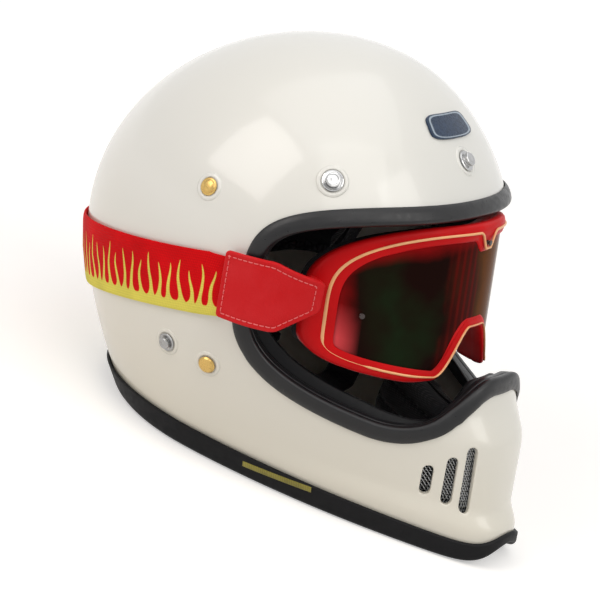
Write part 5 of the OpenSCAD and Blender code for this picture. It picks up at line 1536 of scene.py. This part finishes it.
class HELMET_OT_goggles(bpy.types.Operator):
    """Builds the goggle frame, lens, bead, foam, posts and lugs."""

    bl_idname = "helmet.goggles"
    bl_label = "Goggles"

    def execute(self, context):
        colours, sizes = settings()
        red = plastic("goggle_red", colours.goggles, 0.42, shine=0.12)
        q, _ = lens_edge(LENS_STEPS)
        self.body(red, rim_width(q, sizes.rim / MM))
        self.bead(colours, sizes)
        self.lens(colours)
        self.face_foam(np.abs(q[:, 0]) / g.lens_w)
        self.posts()
        self.lugs(red)
        return {"FINISHED"}

    def body(self, red, rim):
        """Frame with a rolled front, a step down its side and a rim inside the lens edge."""
        w, deep = g.frame_w, g.frame_depth
        outer = [(0.3, -1.2), (2.4, -1.3), (4.4, -1.05), (5.9, -0.4), (6.8, 0.9), (w, 2.4), (6.9, 4.4)]
        outer += [(6.2, 6.4), (5.6, 7.0), (5.5, 8.4), (4.4, 11.5), (3.2, 14.5), (2.4, 16.6), (1.6, deep)]
        outer += [(-1.2, deep), (-1.4, 9.0), (-2.2, 5.0)]
        rows = []
        for width in rim:
            inner = [(-width + 0.6, 3.4), (-width, 2.6), (-width, 1.2), (-width + 0.5, 0.4)]
            inner += [(-width + 1.4, -0.1), (-2.4, -0.5), (-1.0, -0.95)]
            rows.append(inner + outer)
        obj = sweep("goggle_body", lens_rings(LENS_STEPS, np.array(rows)), closed=True, sharp=60.0)
        place(obj, red, "goggle_red", "goggles", "goggle_frame")

    def bead(self, colours, sizes):
        """Thin bead that dips round the middle post and sinks into the frame at the lower corners."""
        n, dip, away, ahead = 640, sizes.notch / MM, 2.2, 1.75
        q, out = lens_edge(n, dip)
        a = np.linspace(0, 2 * np.pi, 10, endpoint=False)
        e = np.abs(q[:, 0]) / g.lens_w
        steep = g.lens_wrap * g.lens_curve / g.lens_w * e ** (g.lens_curve - 1)
        sunk = smooth((e - 0.79) / 0.04) * smooth((-g.lens_mid - 16 - q[:, 1]) / 5)
        r = g.bead_r * (1 - 0.75 * sunk)
        flat = r / np.sqrt(1 + (steep * out[:, 0]) ** 2)
        across = away + flat[:, None] * np.cos(a)
        back = -ahead + 0.55 * sunk[:, None] - r[:, None] * np.sin(a)
        bead = sweep("lens_edge_bead", lens_rings(n, np.stack([across, back], -1), dip), closed=True)
        place(bead, plastic("bead_plastic", colours.bead, 0.3), "bead", "goggles", "lens_bead")

    def lens(self, colours):
        """Smoked lens of two skins, set behind the rim."""
        m, k, margin = 150, 44, 2.2
        u = np.linspace(-0.985, 0.985, m)
        low, high = lens_s(u, np.zeros(m, bool)), lens_s(u, np.ones(m, bool))
        share = np.linspace(0, 1, k)[None, :]
        s = (low + margin)[:, None] * (1 - share) + (high - margin)[:, None] * share
        x = np.repeat((u * (g.lens_w - margin))[:, None], k, 1)
        skins = [(lens_pt(x, s) + d * LENS_BACK).reshape(-1, 3) for d in (0.9, 1.9)]
        count, skin = m * k, quads(m, k, wrap=False)
        border = list(range(k)) + [i * k + k - 1 for i in range(1, m)]
        border += [(m - 1) * k + j for j in range(k - 2, -1, -1)] + [i * k for i in range(m - 2, 0, -1)]
        faces = skin + [[v + count for v in f[::-1]] for f in skin]
        faces += [[a, b, b + count, a + count] for a, b in zip(border, border[1:] + border[:1])]
        way = np.stack(np.broadcast_arrays((0.5 + 0.5 * u)[:, None], share), -1).reshape(-1, 2)
        lens = make("smoked_lens", np.concatenate(skins), faces, uv=np.concatenate([way, way]))
        place(lens, smoked(colours.lens, colours.painted_sheen), "lens", "goggles", "goggle_lens")

    def face_foam(self, e):
        """Foam ring behind the frame, shallower towards the ends, e from 0 in the middle to 1 there."""
        f, w = g.frame_depth + 0.3, g.foam_w
        rows = []
        for d in g.foam_depth * (1 - 0.35 * e**4):
            half, full = f + d * 0.5, f + d
            profile = [(0, f), (-w, f), (-w - 0.6, half), (-w + 0.4, full), (-1.2, full), (-0.2, half)]
            rows.append(corner(profile, 1.2, 4))
        ring = sweep("face_foam_ring", lens_rings(LENS_STEPS, np.array(rows)), closed=True, sharp=70.0)
        place(ring, foam("open_foam", (0.03, 0.03, 0.033), 0.0011), "face_foam", "goggles", "face_foam")

    def posts(self):
        """Small waisted posts on the lens, as one mesh."""
        prof = [(1.5, 0.4), (1.5, 1.4), (1.1, 1.8), (1.1, 2.1), (1.75, 2.5), (1.8, 2.9), (1.5, 3.3)]
        prof = np.array(prof + [(0.8, 3.4), (0.01, 3.4)])
        segments = 24
        points, faces, base = [], [], 0
        for share in (-0.86, 0.0, 0.86):
            x = np.float64(share * g.lens_w)
            s = np.float64(g.lens_rise - g.lens_mid - 5 if share == 0 else -g.lens_mid + 4)
            dx = lens_pt(x + 1, s) - lens_pt(x - 1, s)
            ds = lens_pt(x, s + 1) - lens_pt(x, s - 1)
            n = unit(np.cross(dx, ds))
            rings = turned_rings(prof, lens_pt(x, s), n, unit(dx), unit(np.cross(n, dx)), segments)
            points.append(rings.reshape(-1, 3))
            faces += [[v + base for v in face] for face in quads(len(prof), segments)]
            faces.append([base + v for v in range(segments)][::-1])
            base += len(prof) * segments
        obj = make("lens_posts", np.concatenate(points), faces)
        dark = plastic("post_plastic", (0.035, 0.022, 0.02), 0.3)
        place(obj, dark, "lens_posts", "goggles", "tear_off_posts")

    def lugs(self, red):
        """Rounded blocks that carry the strap's ends."""
        mid = g.patch_z + g.patch_fall * g.patch_len
        rows = []
        for t in np.linspace(0, 1, 12):
            k = 1 - 0.35 * abs(2 * t - 1) ** 4
            ring = rounded(2.0 * k, 8.0 * k, 24, 0.5, 0.5)
            y = np.full(len(ring), -g.lug_fwd + 2.2 + 11.6 * t)
            rows.append(np.stack([-g.lug_x + 3 + ring[:, 0], y, mid + ring[:, 1]], -1))
        for name, side in SIDES:
            obj = sweep("strap_block_" + name, rows, mirror=side)
            place(obj, red, "goggle_red", "goggles", "strap_lug_" + name)


def patch_line(inset, count=240):
    """Outline of the patch in millimetres along and up it, with round corners, drawn in by an inset."""
    p = corner([(t * g.patch_len, b) for t, b in g.patch_outline], 3.0, 8)
    loop = np.concatenate([p, p[:1]])
    run = run_of(loop)
    s = np.linspace(0, run[-1], count, endpoint=False)
    p = np.stack([np.interp(s, run, loop[:, k]) for k in (0, 1)], -1)
    d = np.roll(p, -2, 0) - np.roll(p, 2, 0)
    return p - inset * unit(np.stack([-d[:, 1], d[:, 0]], -1))


def patch_row(inset, off, share=1.0):
    """Points round the patch at an inset and a height, shrunk towards its middle."""
    p = patch_line(inset)
    p = p.mean(0) + share * (p - p.mean(0))
    return patch_pt(p[:, 0] / g.patch_len, p[:, 1], np.full(len(p), off))


class HELMET_OT_strap(bpy.types.Operator):
    """Builds the goggle strap, its end patches with their stitching and its slider."""

    bl_idname = "helmet.strap"
    bl_label = "Goggle strap"

    def execute(self, context):
        colours, sizes = settings()
        self.patches(colours, sizes)
        self.band(colours, sizes)
        self.slider()
        return {"FINISHED"}

    def patches(self, colours, sizes):
        """Leather patches with a raised edge and a row of stitches."""
        hide = leather("patch_leather", colours.patch)
        thread = plastic("patch_thread", colours.thread, 0.5)
        t = g.patch_t
        face = [(0.0, 0.9), (0.05, 1.6), (0.35, t - 0.35), (0.8, t - 0.05), (1.5, t), (2.4, t - 0.06)]
        face += [(3.0, t - 0.3), (3.6, t - 0.3), (4.2, t - 0.08), (5.2, t)]
        face += [(5.2, t, k) for k in (0.9, 0.7, 0.5, 0.3, 0.1)]
        back = [(0.3, 0.15), (1.5, 0.0), (5.2, 0.0, 0.9), (5.2, 0.0, 0.5), (5.2, 0.0, 0.1)]
        points = np.array([patch_row(*row) for row in face[::-1] + back])
        path = patch_row(3.3, t - 0.25)
        lift = patch_row(3.3, t + 0.75) - path
        for name, side in SIDES:
            obj = sweep("strap_patch_hide_" + name, points, mirror=side, sharp=60.0)
            place(obj, hide, "patch", "goggles", "strap_patch_" + name)
            row = stitches("patch_seam_" + name, path, lift, sizes.stitch / MM, 1.0, 0.36, mirror=side)
            place(row, thread, "patch", "goggles")

    def band(self, colours, sizes):
        """Elastic band round the back of the shell."""
        n = 260
        phi = np.linspace(g.strap_phi, 540 - g.strap_phi, n)
        mid = strap_mid(shell_pt(phi, np.full(n, g.strap_way_z))[:, 1])
        across, thick = rounded(g.strap_w / 2, g.strap_t / 2, 40, 0.16, 0.7).T[:, None]
        z = mid[:, None] + across
        out = g.strap_gap + g.strap_t / 2 + thick
        p = shell_at(np.broadcast_to(phi[:, None], z.shape), z, np.broadcast_to(out, z.shape))
        along = run_of(p.mean(1))[:, None] * MM
        uv = np.stack(np.broadcast_arrays(along, (across + g.strap_w / 2) * MM), -1)
        strap = sweep("goggle_band", p, uv=uv, sharp=70.0)
        licks = lick_band(colours.strap, colours.licks, g.strap_w * MM, sizes.lick_period)
        strap.data.materials.append(licks)
        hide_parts("goggle_strap")
        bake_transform(strap)

    def slider(self):
        """Sliding buckle that follows the strap."""
        mid = strap_mid(shell_pt(g.slide_phi, g.strap_way_z)[1])
        low = g.strap_gap + g.strap_t + 0.8
        a = np.linspace(0, 2 * np.pi, 96, endpoint=False)[:, None]
        c, s = spow(np.cos(a), 0.4), spow(np.sin(a), 0.4)
        across, out = corner([(-1, 0), (-1, 2.4), (1, 2.4), (1, 0)], 0.7, 4).T[:, None]
        phi = g.slide_phi + 5.0 * c + 0.9 * c * across
        z = mid + (g.strap_w / 2 + 1.5) * s + 1.6 * s * across
        p = shell_at(phi, z, np.broadcast_to(low + out, phi.shape))
        obj = sweep("strap_slider", p, closed=True)
        black = plastic("slider_plastic", (0.02, 0.02, 0.022), 0.45)
        place(obj, black, "buckle", "helmet", "strap_adjuster")


# Stage


class HELMET_OT_stage(bpy.types.Operator):
    """Sets up the floor, the lights, the surroundings and the camera."""

    bl_idname = "helmet.stage"
    bl_label = "Stage"

    def execute(self, context):
        scene = bpy.context.scene
        scene.view_settings.view_transform = "Standard"
        self.floor(scene)
        self.surroundings(scene)
        self.lamps(scene)
        self.camera(scene)
        return {"FINISHED"}

    def floor(self, scene):
        """Wide floor just under the base trim."""
        half = 8
        mesh = bpy.data.meshes.new("floor")
        corners = [(-half, -half, 0), (half, -half, 0), (half, half, 0), (-half, half, 0)]
        mesh.from_pydata(corners, [], [(0, 1, 2, 3)])
        floor = bpy.data.objects.new("floor", mesh)
        scene.collection.objects.link(floor)
        floor.location.z = -0.0006
        mesh.materials.append(self.floor_paint())

    def floor_paint(self):
        """Pale floor, white to the eye outside the shadow."""
        m = Shade("floor_pale", Roughness=0.8, Specular_IOR_Level=0.2)
        m.colour(m.mix(m.span(m.noise(3.0), 0.3, 0.7), (0.80, 0.78, 0.75), (0.84, 0.82, 0.79)))
        light = m.node("LightPath").outputs
        mirrored = m.math("MAXIMUM", light["Is Glossy Ray"], light["Is Transmission Ray"])
        seen = m.math("MAXIMUM", light["Is Camera Ray"], mirrored)
        distance = m.node("VectorMath", [m.place()], operation="LENGTH").outputs["Value"]
        far = m.span(distance, 0.5, 2.2, 0.42, 0.85)
        glow = m.node("Emission", {"Color": (1.0, 1.0, 1.0, 1.0), "Strength": m.mul(seen, far)})
        blend = m.node("AddShader", [m.bsdf.outputs[0], glow.outputs[0]])
        m.tree.links.new(blend.outputs[0], m.tree.nodes["Material Output"].inputs[0])
        return m.mat

    def surroundings(self, scene):
        """White to the eye and in reflections, a soft grey room for light."""
        world = bpy.data.worlds.new("studio")
        world.use_nodes = True
        scene.world = world
        tree = world.node_tree
        tree.nodes.clear()
        out = tree.nodes.new("ShaderNodeOutputWorld")
        room, white = tree.nodes.new("ShaderNodeBackground"), tree.nodes.new("ShaderNodeBackground")
        blend, ray = tree.nodes.new("ShaderNodeMixShader"), tree.nodes.new("ShaderNodeLightPath")
        room.inputs[0].default_value, room.inputs[1].default_value = (0.95, 0.97, 1.0, 1.0), 0.19
        white.inputs[0].default_value, white.inputs[1].default_value = (1, 1, 1, 1), 1.0
        seen = ray.outputs["Is Camera Ray"]
        for other in ("Is Glossy Ray", "Is Transmission Ray"):
            most = tree.nodes.new("ShaderNodeMath")
            most.operation = "MAXIMUM"
            tree.links.new(seen, most.inputs[0])
            tree.links.new(ray.outputs[other], most.inputs[1])
            seen = most.outputs[0]
        tree.links.new(seen, blend.inputs[0])
        tree.links.new(room.outputs[0], blend.inputs[1])
        tree.links.new(white.outputs[0], blend.inputs[2])
        tree.links.new(blend.outputs[0], out.inputs[0])

    def lamps(self, scene):
        """Four soft lamps that face the helmet: name, place, width, height, power and colour."""
        rows = [
            ("key", (-0.9, -1.1, 1.9), 1.9, 1.9, 16.5, (1.0, 0.98, 0.95)),
            ("top", (0.1, 0.2, 2.2), 2.6, 2.0, 13.0, (1.0, 1.0, 1.0)),
            ("front", (0.2, -1.9, 1.6), 1.2, 1.4, 12.0, (1.0, 0.98, 0.95)),
            ("side", (-1.7, 1.0, 1.5), 1.4, 1.6, 22.0, (1.0, 0.95, 0.91)),
        ]
        aim = Vector((0, 0.03, 0.12))
        for name, spot, wide, tall, power, tone in rows:
            data = bpy.data.lights.new(name, "AREA")
            data.shape, data.size, data.size_y = "RECTANGLE", wide, tall
            data.energy, data.color = power, tone
            lamp = bpy.data.objects.new(name, data)
            scene.collection.objects.link(lamp)
            lamp.location = spot
            lamp.rotation_euler = (aim - Vector(spot)).to_track_quat("-Z", "Y").to_euler()

    def camera(self, scene):
        """Camera at the photograph's viewing angle, from a fit of the outline."""
        azimuth, elevation, roll = math.radians(-64.07), math.radians(18.78), math.radians(-19.98)
        distance, aim_z, image, sensor = 1.7666, 0.125, 600, 36.0
        focal, px, py = 2768.0, 309.98, 244.03
        level = math.cos(elevation)
        back = Vector((math.sin(azimuth) * level, -math.cos(azimuth) * level, math.sin(elevation)))
        right = Vector((math.cos(azimuth), math.sin(azimuth), 0))
        up = back.cross(right)
        r2 = right * math.cos(roll) - up * math.sin(roll)
        u2 = right * math.sin(roll) + up * math.cos(roll)
        look = r2 * ((image / 2 - px) / focal) - u2 * ((image / 2 - py) / focal) - back
        z = -look.normalized()
        x = u2.cross(z).normalized()
        y = z.cross(x)
        data = bpy.data.cameras.new("camera")
        data.sensor_width, data.sensor_fit, data.lens = sensor, "HORIZONTAL", focal / image * sensor
        data.clip_start, data.clip_end = 0.05, 40.0
        cam = bpy.data.objects.new("camera", data)
        scene.collection.objects.link(cam)
        spot = Vector((0, AXIS_Y * MM, aim_z)) + back * distance
        cam.matrix_world = Matrix.Translation(spot) @ Matrix((x, y, z)).transposed().to_4x4()
        scene.camera = cam


MAKERS = (
    HELMET_OT_shell,
    HELMET_OT_trims,
    HELMET_OT_vents,
    HELMET_OT_liner,
    HELMET_OT_pads,
    HELMET_OT_fasteners,
    HELMET_OT_plate,
    HELMET_OT_chin_strap,
    HELMET_OT_goggles,
    HELMET_OT_strap,
    HELMET_OT_stage,
)


class HELMET_PT_panel(bpy.types.Panel):
    """Lists the pieces, the colours and the sizes."""

    bl_idname = "HELMET_PT_panel"
    bl_label = "Helmet"
    bl_space_type = "VIEW_3D"
    bl_region_type = "UI"
    bl_category = "Helmet"

    def draw(self, context):
        for maker in MAKERS:
            self.layout.operator(maker.bl_idname)
        for group in settings():
            for key in group.__annotations__:
                self.layout.prop(group, key)


CLASSES = (HelmetColours, HelmetSizes, *MAKERS, HELMET_PT_panel)


def register():
    """Adds the classes and the settings."""
    for cls in CLASSES:
        bpy.utils.register_class(cls)
    bpy.types.Scene.helmet_colours = PointerProperty(type=HelmetColours)
    bpy.types.Scene.helmet_sizes = PointerProperty(type=HelmetSizes)


def unregister():
    """Removes the classes and the settings."""
    del bpy.types.Scene.helmet_sizes
    del bpy.types.Scene.helmet_colours
    for cls in reversed(CLASSES):
        bpy.utils.unregister_class(cls)


def main():
    """Makes every piece in order."""
    register()
    bpy.ops.helmet.shell()
    bpy.ops.helmet.trims()
    bpy.ops.helmet.vents()
    bpy.ops.helmet.liner()
    bpy.ops.helmet.pads()
    bpy.ops.helmet.fasteners()
    bpy.ops.helmet.plate()
    bpy.ops.helmet.chin_strap()
    bpy.ops.helmet.goggles()
    bpy.ops.helmet.strap()
    bpy.ops.helmet.stage()


if __name__ == "__main__":
    main()
